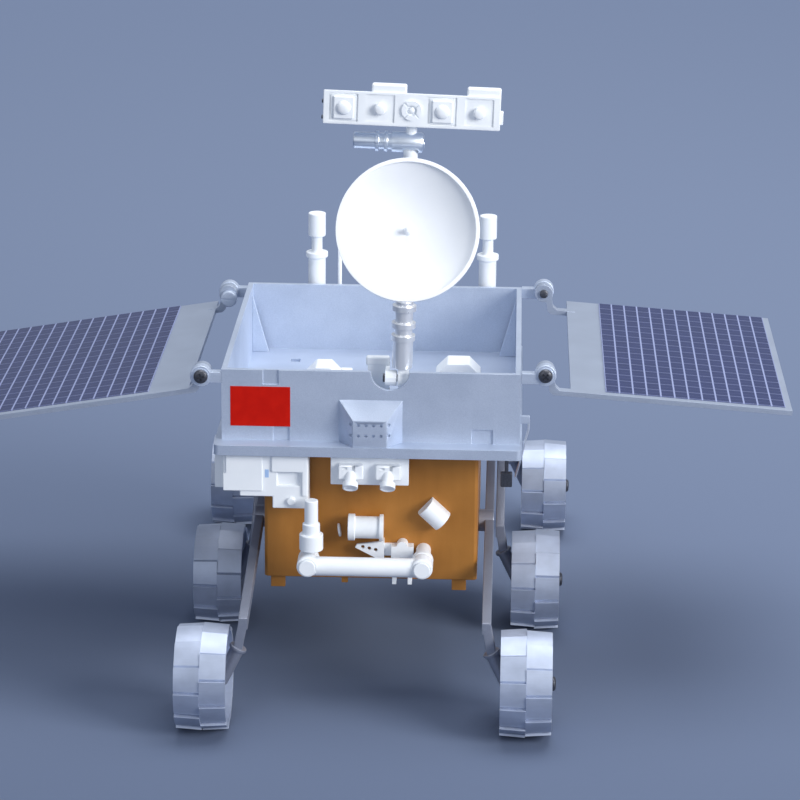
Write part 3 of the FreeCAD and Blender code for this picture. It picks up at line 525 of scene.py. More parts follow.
hinge_arms = []
hinge_heads = []
for name, (hinge_x, hinge_z) in hinge_place.items():
    inner, outer = sorted((math.copysign(hinge_root_x, hinge_x), hinge_x))
    level = hinge_arm_z[name]
    for start_y, face_y, face, pin_y in (
        (0.0, 0.0, -1, hinge_depth),
        (back_y - hinge_depth, back_y, 1, back_y - hinge_depth - pin_length),
    ):
        hinge_arms += [
            slab(
                "hinge_arm", place(inner, start_y, level - hinge_half_height),
                place(outer, start_y + hinge_depth, level + hinge_half_height), edge=0.25,
            ),
            turned(
                "hinge_boss", place(hinge_x, start_y - proud, hinge_z), (0, 1, 0),
                ((0, 3.02), (hinge_depth + 2 * proud, 3.02)), edge=0.25,
            ),
            turned(
                "hinge_ring", place(hinge_x, face_y, hinge_z), (0, face, 0),
                ((-0.3, 2.35), (0.25, 2.35)), edge=0.1,
            ),
            turned(
                "hinge_pin", place(hinge_x, pin_y, hinge_z), (0, 1, 0),
                ((0, 1.1), (pin_length, 1.1)), sides=32,
            ),
        ]
        hinge_heads.append(cross_screw(
            "hinge_head", place(hinge_x, face_y, hinge_z), (0, face, 0), radius=1.95, height=1.1,
            slot_turn=0.5 + math.copysign(0.3, hinge_x),
        ))
right_x, right_z = hinge_place["right"]
hinge_heads.append(turned(
    "back_pin_head", place(right_x, 86.5, right_z), (0, -1, 0),
    ((0, 1.25), (0.6, 1.25), (0.8, 0.9)), sides=32,
))
fitted(
    joined("hinge_bars_piece", *hinge_arms), "rover_body", tray_silver, "tray_silver",
    "hinge_bars",
)
fitted(
    joined("hinge_screws_piece", *hinge_heads), "rover_body", screw_dark, "screw_dark",
    "hinge_screws",
)
pin_cap = turned(
    "back_pin_cap", place(-47.0, 86.7, 92.0), (0, -1, 0), ((0, 2.45), (2.2, 2.45)), edge=0.35,
)
cut(pin_cap, slab("cap_slot", place(-50.0, 84.0, 91.75), place(-44.0, 84.9, 92.25)))
fixed(pin_cap, "wing_left", tray_silver)

# Wings: a pressed plate with a thin bar in front, sprayed as the tray is, with a printed sheet of
# dark blue solar cells bonded on top. Rings at both ends of the hinge line take the pins. The
# wings' copy of the tray lacquer is made darker: painted shade.
# The tray's lacquer drawn darker for the wings: painted shade on the upward-facing plates.
wing_silver = lacquer("wing_silver_lacquer", (0.47, 0.53, 0.64, 1), (0.39, 0.44, 0.54, 1))
ring_starts = (3.25, 86.75)
cell_rows = 16
cell_front_y = 6.05
cell_end_margin = 1.8
cell_back_margin = 0.6


def drawn_line(flow, half_width):
    """A thin line at each whole number of a flow, soft at its edges."""
    nearness = flow.finish.node("ShaderNodeMath", {"operation": "PINGPONG"}, {0: flow, 1: 0.5})
    return flow.finish.node(
        "ShaderNodeMapRange", {"clamp": True, "interpolation_type": "SMOOTHSTEP"},
        {0: nearness, 1: half_width * 0.6, 2: half_width * 1.5, 3: 1.0, 4: 0.0},
    )


for side, name, droop, reach, sheet_start, back_edge, columns in (
    (1, "right", 4.0, 69.3, 17.3, 98.9, 13), (-1, "left", 9.4, 84.5, 16.2, 96.2, 17),
):
    hinge_x, hinge_z = hinge_place[name]
    wing = rounded(cast("wing_" + name), 0.15)
    rings = [
        turned(
            "wing_ring", place(hinge_x, y - proud, hinge_z), (0, 1, 0),
            ((0, 2.72), (hinge_depth + 2 * proud, 2.72)), edge=0.15,
        )
        for y in ring_starts
    ]
    fitted(
        joined("wing_" + name + "_piece", wing, *rings), "wing_" + name, wing_silver,
        "wing_silver", "wing_" + name,
    )
    cells = rounded(cast("cells_" + name), 0.08)
    column_pitch = (reach - cell_end_margin - sheet_start) / columns
    row_pitch = (back_edge - cell_back_margin - cell_front_y) / cell_rows
    printed = Finish("printed_cells_" + name, Metallic=0.0, Specular_IOR_Level=0.3)
    grid = printed.node(
        "ShaderNodeMapping", {"vector_type": "TEXTURE"},
        {"Vector": printed.spot, "Location": place(hinge_x, cell_front_y, hinge_z),
         "Rotation": (0, math.radians(side * droop), 0),
         "Scale": (side * column_pitch * millimetre, row_pitch * millimetre, millimetre)},
    )
    outward = printed.node("ShaderNodeSeparateXYZ", {}, {0: grid}, "X")
    backward = printed.node("ShaderNodeSeparateXYZ", {}, {0: grid}, "Y")
    drawn = drawn_line(outward - sheet_start / column_pitch, 0.055)
    for fainter in (0.34 * drawn_line(backward, 0.045), 0.10 * drawn_line(backward + 0.5, 0.02)):
        drawn = drawn.maths("MAXIMUM", drawn, fainter)
    tint = printed.blend(printed.noise(5, 2), (0.014, 0.022, 0.088, 1), (0.024, 0.034, 0.125, 1))
    printed.feed(
        Base_Color=printed.blend(drawn, tint, (0.30, 0.34, 0.54, 1)),
        Roughness=0.26 + 0.20 * drawn,
    )
    printed.relief(drawn, 0.02)
    fitted(cells, "wing_" + name, printed, "cell_indigo", "cells_" + name)

# Equipment box: a folded sheet-metal box in ochre lacquer, hung under the deck, with four short
# feet of the same sheet.
ochre = Finish("ochre_lacquer", Metallic=0.25, Specular_IOR_Level=0.5)
streaks = ochre.noise(2.0, 3, 0.5, ochre.stretched((1, 1, 0.16)))
ochre_clouds = ochre.ramp(ochre.noise(16, 3), 0.3, 0.7)
ochre.feed(
    Base_Color=ochre.blend(
        streaks * 0.4 + ochre_clouds * 0.6, (0.37, 0.148, 0.024, 1), (0.53, 0.225, 0.044, 1),
    ),
    Roughness=0.36 + 0.16 * ochre.noise(0.6, 2),
)
ochre.relief(ochre.noise(0.5, 2), 0.02)
fitted(rounded(cast("equipment_box"), 0.3), "rover_body", ochre, "box_ochre", "equipment_box")
fitted(rounded(cast("box_feet"), 0.2), "rover_body", ochre, "box_ochre", "box_feet")

# Instrument housing: white moulded boxes of different depths, clipped under the front ledge. Thin
# plates stand on their faces, and a thin pale-blue strip on one face is painted shade where a
# narrow slot is.
white_fitted(rounded(cast("instrument_box"), 0.3), "rover_body", "instrument_box")
instrument_plates = joined("instrument_plates", *[
    slab("plate", place(*low), place(*high), edge)
    for low, high, edge in (
        ((-41.0, -3.5, 60.9), (-30.0, -2.9, 66.0), 0.25),
        ((-40.2, -3.5, 65.6), (-30.0, -2.9, 71.6), 0.25),
        ((-27.4, -3.6, 66.6), (-17.4, -2.9, 71.6), 0.3),
        ((-18.9, -3.6, 59.6), (-17.4, -2.9, 67.0), 0.3),
    )
])
fixed(instrument_plates, "rover_body", white_moulding)
# A thin pale-blue sheet on the face: painted shade inside a narrow slot.
instrument_slot = slab(
    "instrument_slot", place(-29.3, -3.05, 64.8), place(-28.2, -2.9, 67.2), edge=0.1,
)
slot_shade_blue = moulded("slot_shade_blue", (0.46, 0.62, 0.88, 1), (0.34, 0.52, 0.82, 1))
fixed(instrument_slot, "rover_body", slot_shade_blue)

# Front cameras: a white moulded plate, screwed on under the ledge, with two flanged barrels that
# look down and forward from small notched blocks.
white_fitted(rounded(cast("camera_plate"), 0.25), "rover_body", "camera_plate")
barrel_tilt = math.radians(42.0)
barrel_aim = Vector((0, -math.sin(barrel_tilt), -math.cos(barrel_tilt)))
barrel_profile = (
    (0, 1.55), (3.0, 1.55), (3.2, 2.15), (4.85, 2.15), (4.85, 1.7), (4.55, 1.65), (4.5, 0.9),
)
camera_pieces = []
for x in (-5.3, 5.1):
    mount = slab(
        "camera_block", place(x - 3.5, -4.4, 65.0), place(x + 3.5, -2.0, 69.2), edge=0.4,
        segments=3,
    )
    cut(
        mount, slab("notch", place(x + 0.3, -5.0, 67.4), place(x + 1.3, -3.6, 69.6)),
        slab("notch", place(x - 2.4, -5.0, 67.9), place(x - 0.9, -3.9, 68.7)),
    )
    camera_pieces.append(crisp(mount))
    camera_pieces.append(turned(
        "camera_barrel", place(x, -3.2, 66.85), barrel_aim, barrel_profile, sides=40, edge=0.12,
    ))
white_fitted(joined("front_cameras_piece", *camera_pieces), "rover_body", "front_cameras")

# Third foot: a narrow lug under the box's front edge, left of the middle, folded from the box's
# sheet and sprayed with it.
third_foot = slab("third_foot", place(-8.3, 6.4, 30.6), place(-6.5, 8.0, 32.6), edge=0.15)
fixed(third_foot, "rover_body", ochre)

# Fittings on the face of the box: a flanged drum on a block, a thin disc at its end, a half-round
# block set aslant, and a bracket. All are white mouldings, pushed into the box's face.
drum = turned(
    "box_drum_piece", place(-6.2, 1.8, 49.0), (1, 0, 0),
    ((0, 3.8), (1.9, 3.8), (1.9, 3.15), (8.8, 3.15), (8.8, 3.8), (9.9, 3.8)), sides=56, edge=0.15,
)
drum_foot = slab("drum_foot", place(-4.3, 1.8, 47.4), place(2.6, 5.7, 50.6), edge=0.1)
white_fitted(joined("box_drum_piece", drum, drum_foot), "rover_body", "box_drum")
disc = turned(
    "box_disc", place(-9.1, 3.9, 47.3), (1, 0, 0.16), ((0, 1.9), (0.6, 1.9)), sides=40, edge=0.15,
)
fixed(disc, "rover_body", white_moulding)
cube = cast("box_cube")
roll_y = 3.6
roll_length = 6.86
roll_radius = 2.93
open_mesh(cube)
bpy.ops.mesh.bisect(
    plane_co=place(0, roll_y, 0), plane_no=(0, -1, 0), use_fill=True, clear_outer=True,
)
close_mesh()
roll_turn = math.radians(43.0)
roll_axis = Vector((math.cos(roll_turn), 0, -math.sin(roll_turn)))
roll = turned(
    "box_roll", place(17.9, roll_y, 52.6) - roll_axis * roll_length / 2 * millimetre, roll_axis,
    ((0, roll_radius), (roll_length, roll_radius)), sides=64, edge=0.25,
)
white_fitted(joined("box_cube_piece", cube, roll), "rover_body", "box_cube")
white_fitted(rounded(cast("box_bracket"), 0.12), "rover_body", "box_bracket")

# Sampling arm: white tubes with round joint discs. The shoulder is fixed to the box, the link
# turns on it, and the stepped upright turns at the link's far end. Plain caps close the pins.
arm_y = -8.0
arm_z = 41.2
tube_z = 40.7
tube_radius = 2.7
shoulder_x = 15.0
elbow_x = -17.0
disc_radius = 3.0
disc_front = -5.0
disc_back = -2.4
cap_y = -11.0


def joint_disc(x, front, back, edge):
    return turned(
        "disc", place(x, front, arm_z), (0, 1, 0),
        ((0, disc_radius), (back - front, disc_radius)), sides=56, edge=edge,
    )


def joint_pin(x):
    return turned("pin", place(x, cap_y, arm_z), (0, 1, 0), ((0, 0.9), (6.0, 0.9)), sides=24)


shoulder = joined(
    "sample_shoulder_piece",
    turned(
        "stub", place(shoulder_x, disc_back, arm_z), (0, 1, 0), ((0, 2.1), (8.1, 2.1)), sides=40,
    ),
    joint_disc(shoulder_x, disc_front, disc_back, 0.3), joint_pin(shoulder_x),
)
white_fitted(shoulder, "rover_body", "sample_shoulder")
link = joined(
    "sample_link_piece",
    turned(
        "tube", place(elbow_x, arm_y, tube_z), (1, 0, 0),
        ((0, tube_radius), (shoulder_x - elbow_x, tube_radius)), sides=56,
    ),
    *[
        joint_disc(x, arm_y - tube_radius, arm_y + tube_radius, 0.45)
        for x in (shoulder_x, elbow_x)
    ],
)
white_fitted(link, "sample_link", "sample_link")
upright = joined(
    "sample_upright_piece", joint_disc(elbow_x, disc_front, disc_back, 0.3), joint_pin(elbow_x),
    slab(
        "strap", place(elbow_x - 2.1, disc_front, arm_z), place(elbow_x + 2.1, disc_back, 47.5),
        edge=0.25,
    ),
    turned(
        "body", place(-16.1, -6.7, 45.2), (0, 0, 1),
        ((0, 3.35), (4.6, 3.35), (4.6, 2.45), (7.7, 2.45), (7.7, 1.9), (14.5, 1.9)),
        sides=56, edge=0.25,
    ),
)
white_fitted(upright, "sample_upright", "sample_upright")
for node, x, body in (
    ("shoulder_cap", shoulder_x, "rover_body"), ("elbow_cap", elbow_x, "sample_upright"),
):
    cap = turned(
        node + "_piece", place(x, cap_y, arm_z), (0, -1, 0), ((0, 2.3), (0.8, 2.3)), edge=0.2,
    )
    white_fitted(cap, body, node)

# Rocker and bogie arms: cast flat bars, bent at the foot, with a collar and a leaning round knee
# that carries the wheel on its axle.
arm_silver = lacquer("arm_silver_lacquer", (0.33, 0.355, 0.43, 1), (0.25, 0.27, 0.34, 1))
track = {"front": 89.0, "mid": 94.4, "rear": 100.4}
wheel_y = {"front": -28.0, "mid": 55.0, "rear": 143.0}
foot_z = {"front": 31.5, "mid": 31.0, "rear": 31.0}
rocker_bend = (30.0, 42.0)
bogie_pivot = (99.0, 54.5)
rocker_x = 32.1
bogie_x = 35.2
boss_radius = 3.4
bar_thickness = 2.6
bar_height = 3.4
wheel_radius = 15.0
wheel_width = 14.2
axle_gap = 0.25
web_x = 6.2
knee_lean = math.radians(26.0)
knee_drop = 8.6
knee_inset = 2.2
knee_top_z = wheel_radius + knee_drop


def reshaped(piece, low, high, corner_places):
    """Move a slab's corners; corner_places gives a place for each (upper x, upper y, upper z)."""
    middle = (low + high) / 2
    for vertex in piece.data.vertices:
        vertex.co = corner_places(*[vertex.co[axis] > middle[axis] for axis in range(3)])
    return rounded(piece, 0.3)


def flat_bar(x0, x1, foot, pivot):
    """A bar between a foot and a pivot, given as (y, z), with its sides in two planes across X."""
    slope = (pivot[1] - foot[1]) / (pivot[0] - foot[0])
    half_rise = bar_height / 2 * math.hypot(1, slope)
    foot_end = foot[0] - math.copysign(bar_height / 2, pivot[0] - foot[0])
    end_y = sorted((foot_end, pivot[0]))
    low = place(x0, end_y[0], 0)
    high = place(x1, end_y[1], 80)

    def corner(right, back, upper):
        y = end_y[back]
        return place(
            (x0, x1)[right], y, foot[1] + slope * (y - foot[0]) + (-half_rise, half_rise)[upper],
        )

    return reshaped(slab("bar", low, high), low, high, corner)


def shin(side, arm_x, knee_x, y, high_z):
    """The bent foot of a bar, a little thinner than the bar so that no two faces coincide."""
    half_depth = bar_height / 2 - 0.04
    low = place(-1, y - half_depth, knee_top_z)
    high = place(1, y + half_depth, high_z)

    def corner(right, back, upper):
        middle = side * ((arm_x + bar_thickness / 2) if upper else knee_x)
        return place(
            middle + (-1, 1)[right] * bar_thickness / 2, y + (-1, 1)[back] * half_depth,
            (knee_top_z, high_z)[upper],
        )

    return reshaped(slab("shin", low, high), low, high, corner)


def round_boss(side, x, centre, radius, length):
    return turned(
        "boss", place(side * x, *centre), (side, 0, 0), ((0, radius), (length, radius)), edge=0.2,
    )


for side, name in ((1, "right"), (-1, "left")):
    for node, arm_x, ends, pivot in (
        ("rocker_", rocker_x, ("front",), rocker_bend),
        ("bogie_", bogie_x, ("mid", "rear"), bogie_pivot),
    ):
        x0, x1 = sorted((side * arm_x, side * (arm_x + bar_thickness)))
        pieces = [flat_bar(x0, x1, (wheel_y[end], foot_z[end]), pivot) for end in ends]
        if node == "rocker_":
            pieces.append(flat_bar(x0, x1, rocker_bend, bogie_pivot))
        for end in ends:
            half_track = track[end] / 2
            face_x = half_track - wheel_width / 2 - axle_gap
            knee_x = face_x - knee_inset
            pieces.append(shin(side, arm_x, knee_x, wheel_y[end], foot_z[end]))
            pieces.append(turned(
                "knee", place(side * knee_x, wheel_y[end], knee_top_z),
                (side * math.sin(knee_lean), 0, -math.cos(knee_lean)),
                ((-0.5, 2.45), (0.4, 2.45), (0.4, 1.95), (11.0, 1.95)), sides=40, edge=0.15,
            ))
            axle_x = knee_x + knee_drop * math.tan(knee_lean)
            boss_end = face_x + web_x - axle_x
            pin_end = half_track + wheel_width / 2 + axle_gap - axle_x
            pieces.append(turned(
                "axle", place(side * axle_x, wheel_y[end], wheel_radius), (side, 0, 0),
                ((0, 1.8), (boss_end, 1.8), (boss_end, 1.1), (pin_end, 1.1)), sides=32,
            ))
        if node == "rocker_":
            boss_length = bogie_x - rocker_x
            pieces.append(round_boss(side, 30.2, rocker_bend, 3.2, 4.5))
        else:
            boss_length = bar_thickness
        pieces.append(round_boss(side, arm_x, bogie_pivot, boss_radius, boss_length))
        fitted(
            joined(node + name + "_piece", *pieces), "rover_body", arm_silver, "arm_silver",
            node + name,
        )

# Dark bracket: a blackened steel clip that hangs from a thin strap under the right ledge, where
# the side wire ends.
bracket = joined(
    "dark_bracket",
    slab("clip", place(36.4, 8.0, 59.6), place(39.7, 10.0, 63.8), edge=0.3),
    slab("hanger", place(37.5, 8.4, 63.0), place(38.6, 9.6, 72.1), edge=0.2),
)
fixed(bracket, "rover_body", screw_dark)

# Axle screws: pan-head cross screws in blackened steel that hold the wheels on their axles and
# the bogies on their pins.
axle_heads = []
for side in (-1, 1):
    for end in ("front", "mid", "rear"):
        head_x = track[end] / 2 + wheel_width / 2 + axle_gap
        axle_heads.append(cross_screw(
            "axle_head", place(side * head_x, wheel_y[end], wheel_radius), (side, 0, 0),
            radius=2.0, height=0.9,
        ))
    axle_heads.append(cross_screw(
        "bogie_head", place(side * (bogie_x + bar_thickness), *bogie_pivot), (side, 0, 0),
        radius=1.8, height=0.9,
    ))
fitted(
    joined("axle_screws_piece", *axle_heads), "rover_body", screw_dark, "screw_dark",
    "axle_screws",
)

# Wheels: cast in light metal and left bright. Two rows of tread plates stand round the band like
# saw teeth, half a tooth apart, and a web with eight ribs joins the band to the hub.
row_width = wheel_width / 2
teeth = 12
plate_shares = (0, 0.2, 0.4, 0.6, 0.77, 0.91, 1)
plate_reach = 6.97
plate_sag = 0.14
ledge_groove = 0.5
row_crown = 0.5
tread_step = 0.75
band_thickness = 1.1
band_inner = wheel_radius - tread_step - band_thickness
tooth_points = len(plate_shares)
row_points = teeth * tooth_points
point_angle = 2 * math.pi / row_points
wheel_middle = Vector((0, 0, 0))


def row_circle(x0, radius):
    bpy.ops.mesh.primitive_circle_add(
        vertices=row_points, radius=radius * millimetre, location=(x0 * millimetre, 0, 0),
        rotation=(0, math.pi / 2, 0),
    )


def resize_across(size):
    bpy.ops.transform.resize(value=(1, size, size), center_override=wheel_middle)


def turn_about_axle(angle):
    bpy.ops.transform.rotate(value=-angle, orient_axis="X", center_override=wheel_middle)


def tread_row(x0, start_turn, first_resize, last_resize):
    """One row of tread plates; each point of a tooth is drawn in and turned on its own."""
    row_circle(x0, wheel_radius)
    row = settled("tread_row")
    numbers = [
        round(math.atan2(-vertex.co.y, vertex.co.z) / point_angle) % tooth_points
        for vertex in row.data.vertices
    ]
    for point in range(1, tooth_points):
        bpy.ops.object.mode_set(mode="EDIT")
        bpy.ops.mesh.select_all(action="DESELECT")
        close_mesh()
        for vertex, number in zip(row.data.vertices, numbers):
            vertex.select = number == point
        bpy.ops.object.mode_set(mode="EDIT")
        share = plate_shares[point]
        drop = share * tread_step + 4 * share * (1 - share) * plate_sag
        if share == 1:
            drop += ledge_groove
        resize_across((wheel_radius - drop) / wheel_radius)
        turn_about_axle((share * plate_reach - point) * point_angle)
        close_mesh()
    bpy.ops.object.mode_set(mode="EDIT")
    row_circle(x0, band_inner)
    bpy.ops.mesh.select_all(action="SELECT")
    bpy.ops.mesh.bridge_edge_loops()
    bpy.ops.mesh.select_all(action="SELECT")
    turn_about_axle(start_turn)
    resize_across(first_resize)
    bpy.ops.mesh.extrude_region_move(
        TRANSFORM_OT_translate={"value": (row_width * millimetre, 0, 0)},
    )
    resize_across(last_resize)
    bpy.ops.mesh.select_all(action="SELECT")
    bpy.ops.mesh.normals_make_consistent(inside=False)
    close_mesh()
    return row


crown = 1 - row_crown / wheel_radius
band = joined(
    "band", tread_row(0, 0, crown, 1 / crown), tread_row(row_width, math.pi / teeth, 1, crown),
)
crisp(rounded(band, 0.09, segments=1, angle=18), 14)
web_radius = band_inner + 0.5
web_end_x = 7.4
web = turned(
    "web", wheel_middle, (1, 0, 0), ((web_x, web_radius), (web_end_x, web_radius)),
    sides=row_points,
)
hub = turned(
    "hub", wheel_middle, (1, 0, 0),
    ((web_x, 2.6), (web_x + 0.4, 3.0), (wheel_width - 0.4, 3.0), (wheel_width, 2.6)), edge=0.1,
)
rib_half_width = 0.55
rib = slab(
    "rib", Vector((11.4, -rib_half_width, 2.0)) * millimetre,
    Vector((12.6, rib_half_width, band_inner + 0.1)) * millimetre, edge=0.15,
)
open_mesh(rib)
bpy.ops.mesh.spin(
    steps=8, angle=2 * math.pi, dupli=True, use_auto_merge=False, center=wheel_middle,
    axis=(1, 0, 0),
)
close_mesh()
wheel_model = joined("wheel_model", band, web, hub, rib)
wheel_metal = Finish("bright_cast_metal", Metallic=0.8)
brushed = wheel_metal.noise(0.5, 3, 0.55, wheel_metal.stretched((0.12, 1, 1)))
wheel_clouds = wheel_metal.ramp(wheel_metal.noise(7, 3), 0.3, 0.7)
wheel_metal.feed(
    Base_Color=wheel_metal.blend(
        brushed * 0.4 + wheel_clouds * 0.6, (0.42, 0.47, 0.58, 1), (0.58, 0.64, 0.78, 1),
    ),
    Roughness=0.46 + 0.16 * brushed,
)
wheel_metal.relief(brushed, 0.012)
wheel_turns = {
    "front_right": 9.0, "mid_right": -6.4, "rear_right": -9.0,
    "front_left": 14.5, "mid_left": 13.0, "rear_left": 6.0,
}
for end in ("front", "mid", "rear"):
    for side, name in ((1, "right"), (-1, "left")):
        node = "wheel_" + end + "_" + name
        wheel = copied(node + "_piece", wheel_model)
        open_mesh(wheel)
        if side < 0:
            bpy.ops.transform.resize(value=(-1, 1, 1), center_override=wheel_middle)
            bpy.ops.mesh.flip_normals()
        turn_about_axle(math.radians(wheel_turns[end + "_" + name]))
        inner_x = side * (track[end] / 2 - row_width)
        bpy.ops.transform.translate(value=place(inner_x, wheel_y[end], wheel_radius))
        close_mesh()
        fitted(wheel, node, wheel_metal, "wheel_silver", node)
bpy.data.objects.remove(wheel_model)

# Mast foot: a white moulded plate behind the notch with the fixed ear of the folding knuckle. A
# dark cross screw closes its pin on the right, and a plain one on the left.
white_fitted(rounded(cast("mast_foot"), 0.2), "rover_body", "mast_foot")
mast_y = 4.4
pivot_z = 92.3
pin_head = cross_screw(
    "mast_pin_head_piece", place(10.7, mast_y, pivot_z), (1, 0, 0), radius=1.7, height=0.6,
)
fitted(pin_head, "rover_body", screw_dark, "screw_dark", "mast_pin_head")
ear_screw = turned(
    "ear_screw", place(3.85, mast_y, pivot_z), (-1, 0, 0), ((0, 1.2), (0.7, 1.2)), sides=32,
    edge=0.12,
)
fixed(ear_screw, "rover_body", screw_dark)

# Mast: a white folding knuckle, a turned and polished lower part with three collars, and a slim
# polished tube above it with a white collar near its top.
mast_x = 8.35
knuckle_x = 8.85
knuckle_half = 1.55
lower_z = 95.5
upper_z = 114.6
knuckle = joined(
    "mast_knuckle_piece",
    turned(
        "drum", place(knuckle_x - knuckle_half, mast_y, pivot_z), (1, 0, 0),
        ((0, 2.6), (2 * knuckle_half, 2.6)), edge=0.25,
    ),
    slab(
        "neck", place(knuckle_x - knuckle_half, mast_y - knuckle_half, pivot_z),
        place(knuckle_x + knuckle_half, mast_y + knuckle_half, 95.6), edge=0.3,
    ),
)
white_fitted(knuckle, "mast", "mast_knuckle")
mast_lean = math.radians(1.7)
mast_pivot = place(mast_x, mast_y, pivot_z)


def leaned(piece):
    """The mast stands a little askew, so its pieces are made upright and turned at its foot."""
    open_mesh(piece)
    bpy.ops.transform.rotate(value=-mast_lean, orient_axis="Y", center_override=mast_pivot)
    close_mesh()
    return piece


def polish(finish):
    """Faint streaks along a turned metal piece."""
    return finish.noise(1.6, 3, 0.5, finish.stretched((1, 1, 0.2)))


nickel = Finish("polished_nickel", Metallic=0.7)
nickel_streaks = polish(nickel)
nickel.feed(
    Base_Color=nickel.blend(nickel_streaks, (0.95, 0.97, 1.0, 1), (1.0, 1.0, 1.0, 1)),
    Roughness=0.24 + 0.10 * nickel_streaks,
)
collar_profile = [(0, 2.85), (7.9, 2.85)]
for collar_low, collar_end in ((7.9, 11.5), (11.5, 16.4), (16.4, 19.1)):
    collar_profile += [
        (collar_low, 3.35), (collar_low + 1.6, 3.35), (collar_low + 1.6, 2.5), (collar_end, 2.5),
    ]
mast_lower = turned(
    "mast_lower_piece", place(mast_x, mast_y, lower_z), (0, 0, 1), collar_profile, sides=64,
    edge=0.12,
)
fitted(leaned(mast_lower), "mast", nickel, "gunmetal", "mast_lower")
mast_upper = turned(
    "mast_upper_piece", place(mast_x, mast_y, upper_z), (0, 0, 1), ((0, 1.9), (43.0, 1.9)),
)
fitted(leaned(mast_upper), "mast", nickel, "gunmetal", "mast_upper")
mast_cap = turned(
    "mast_cap", place(mast_x, mast_y, 153.4), (0, 0, 1), ((0, 1.97), (3.9, 1.97)), edge=0.1,
)
fixed(leaned(mast_cap), "mast", white_moulding)

# Tilt motor: a turned metal core across the top of the mast with two rings at its left end,
# pressed into the mast's end.
motor_z = 159.4
core_radius = 2.25
ring_radius = 2.85
motor_profile = [(0, 1.9), (0.3, core_radius)]
for ring_start, ring_end in ((6.1, 7.0), (8.5, 9.4)):
    motor_profile += [
        (ring_start, core_radius), (ring_start, ring_radius), (ring_end, ring_radius),
        (ring_end, core_radius),
    ]
motor_profile.append((18.6, core_radius))
motor = turned(
    "tilt_motor_piece", place(-7.4, mast_y, motor_z), (1, 0, 0), motor_profile, sides=64, edge=0.1,
)
motor_grey = Finish("turned_motor_metal", Metallic=1.0)
motor_streaks = polish(motor_grey)
motor_grey.feed(
    Base_Color=motor_grey.blend(motor_streaks, (0.78, 0.85, 0.97, 1), (0.90, 0.95, 1.0, 1)),
    Roughness=0.30 + 0.06 * motor_streaks,
)
fitted(leaned(motor), "mast", motor_grey, "gunmetal", "tilt_motor")

# Camera head: a turned sleeve that turns on the motor's core, slotted below for the mast, a short
# neck, and a white moulded bar. The bar's face has two grooved lenses on pads, two sunk ones and a
# slotted ring in the middle.
sleeve = turned(
    "head_sleeve_piece", place(3.2, mast_y, motor_z), (1, 0, 0),
    ((0, 2.85), (7.9, 2.85), (8.5, 2.5), (8.8, 1.8), (8.3, 1.5), (8.25, 2.35), (0, 2.35)),
    sides=64,
)
cut(sleeve, slab(
    "mast_path", place(mast_x - 2.15, mast_y - 3.8, motor_z - 5.7),
    place(mast_x + 2.15, mast_y + 3.8, motor_z - 0.57),
))
fitted(leaned(sleeve), "camera_head", motor_grey, "gunmetal", "head_sleeve")
neck = turned(
    "head_neck_piece", place(mast_x, mast_y, motor_z + 2.2), (0, 0, 1), ((0, 1.55), (2.9, 1.55)),
    sides=40,
)
white_fitted(leaned(neck), "camera_head", "head_neck")
head_y = 0.2
head_back_y = 8.2
head_low_z = 164.4
head_high_z = 173.8
head_back_drop = 1.8
bar = slab(
    "head_bar_piece", place(-15.7, head_y, head_low_z), place(32.3, head_back_y, head_high_z),
)
bar_middle = place(0, (head_y + head_back_y) / 2, (head_low_z + head_high_z) / 2)
for corner in bar.data.vertices:
    if corner.co.y > bar_middle.y and corner.co.z > bar_middle.z:
        corner.co.z -= head_back_drop * millimetre
rounded(bar, 0.35)
lens_z = 169.1
lens_half = 3.9
padded_x = (-10.1, 16.6)
sunk_x = (-0.2, 26.6)


def lens_square(name, x, half, front, back, low_shift=0.0):
    """A square block on a lens's middle; front and back are distances from the bar's face."""
    return slab(
        name, place(x - half, head_y - front, lens_z - half + low_shift),
        place(x + half, head_y + back, lens_z + half),
    )


for x in sorted(padded_x + sunk_x):
    if x in sunk_x:
        cut(bar, lens_square("recess", x, lens_half, 1, 0.35, 0.2))
    else:
        groove = lens_square("groove", x, lens_half, 1, 0.4)
        cut(bar, cut(groove, lens_square("groove_core", x, lens_half - 0.45, 2, 2)))
bar_pieces = [crisp(bar)]
for tab_left, tab_right in ((-2.7, 6.8), (23.1, 32.3)):
    bar_pieces.append(slab(
        "head_tab", place(tab_left, head_y + 0.6, 172.6), place(tab_right, head_y + 3.2, 175.8),
        edge=0.55, segments=3,
    ))
bar_pieces.append(slab(
    "head_lug", place(32.0, head_y + 0.6, 166.0), place(33.1, head_y + 3.6, 169.4), edge=0.25,
))
white_fitted(leaned(joined("head_bar_piece", *bar_pieces)), "camera_head", "head_bar")
lenses = []
for x in padded_x:
    lenses.append(slab(
        "pad", place(x - 2.8, head_y - 0.6, lens_z - 3.1),
        place(x + 2.8, head_y + 0.1, lens_z + 3.1), edge=0.4, segments=3,
    ))
    lenses.append(turned(
        "dome", place(x, head_y - 0.5, lens_z), (0, -1, 0),
        ((-0.2, 2.0), (0.2, 1.95), (0.7, 1.65), (1.0, 1.1), (1.1, 0.4)), edge=0.15,
    ))
for x in sunk_x:
    lenses.append(turned(
        "stud", place(x, head_y + 0.35, lens_z), (0, -1, 0),
        ((-0.1, 1.6), (1.2, 1.6), (1.7, 1.25), (1.9, 0.5)), edge=0.12,
    ))
white_fitted(leaned(joined("head_lenses_piece", *lenses)), "camera_head", "head_lenses")
ring_x = 8.3
ring = turned(
    "head_ring_rim", place(ring_x, head_y, lens_z), (0, -1, 0),
    ((-0.05, 2.7), (0.6, 2.7), (0.6, 1.45), (-0.02, 1.45)),
)
for turn in (45, 135):
    bpy.ops.mesh.primitive_cube_add(
        size=1, location=place(ring_x, head_y - 0.6, lens_z), rotation=(0, math.radians(turn), 0),
        scale=Vector((8, 0.6, 0.6)) * millimetre,
    )
    cut(ring, settled("ring_slot"))
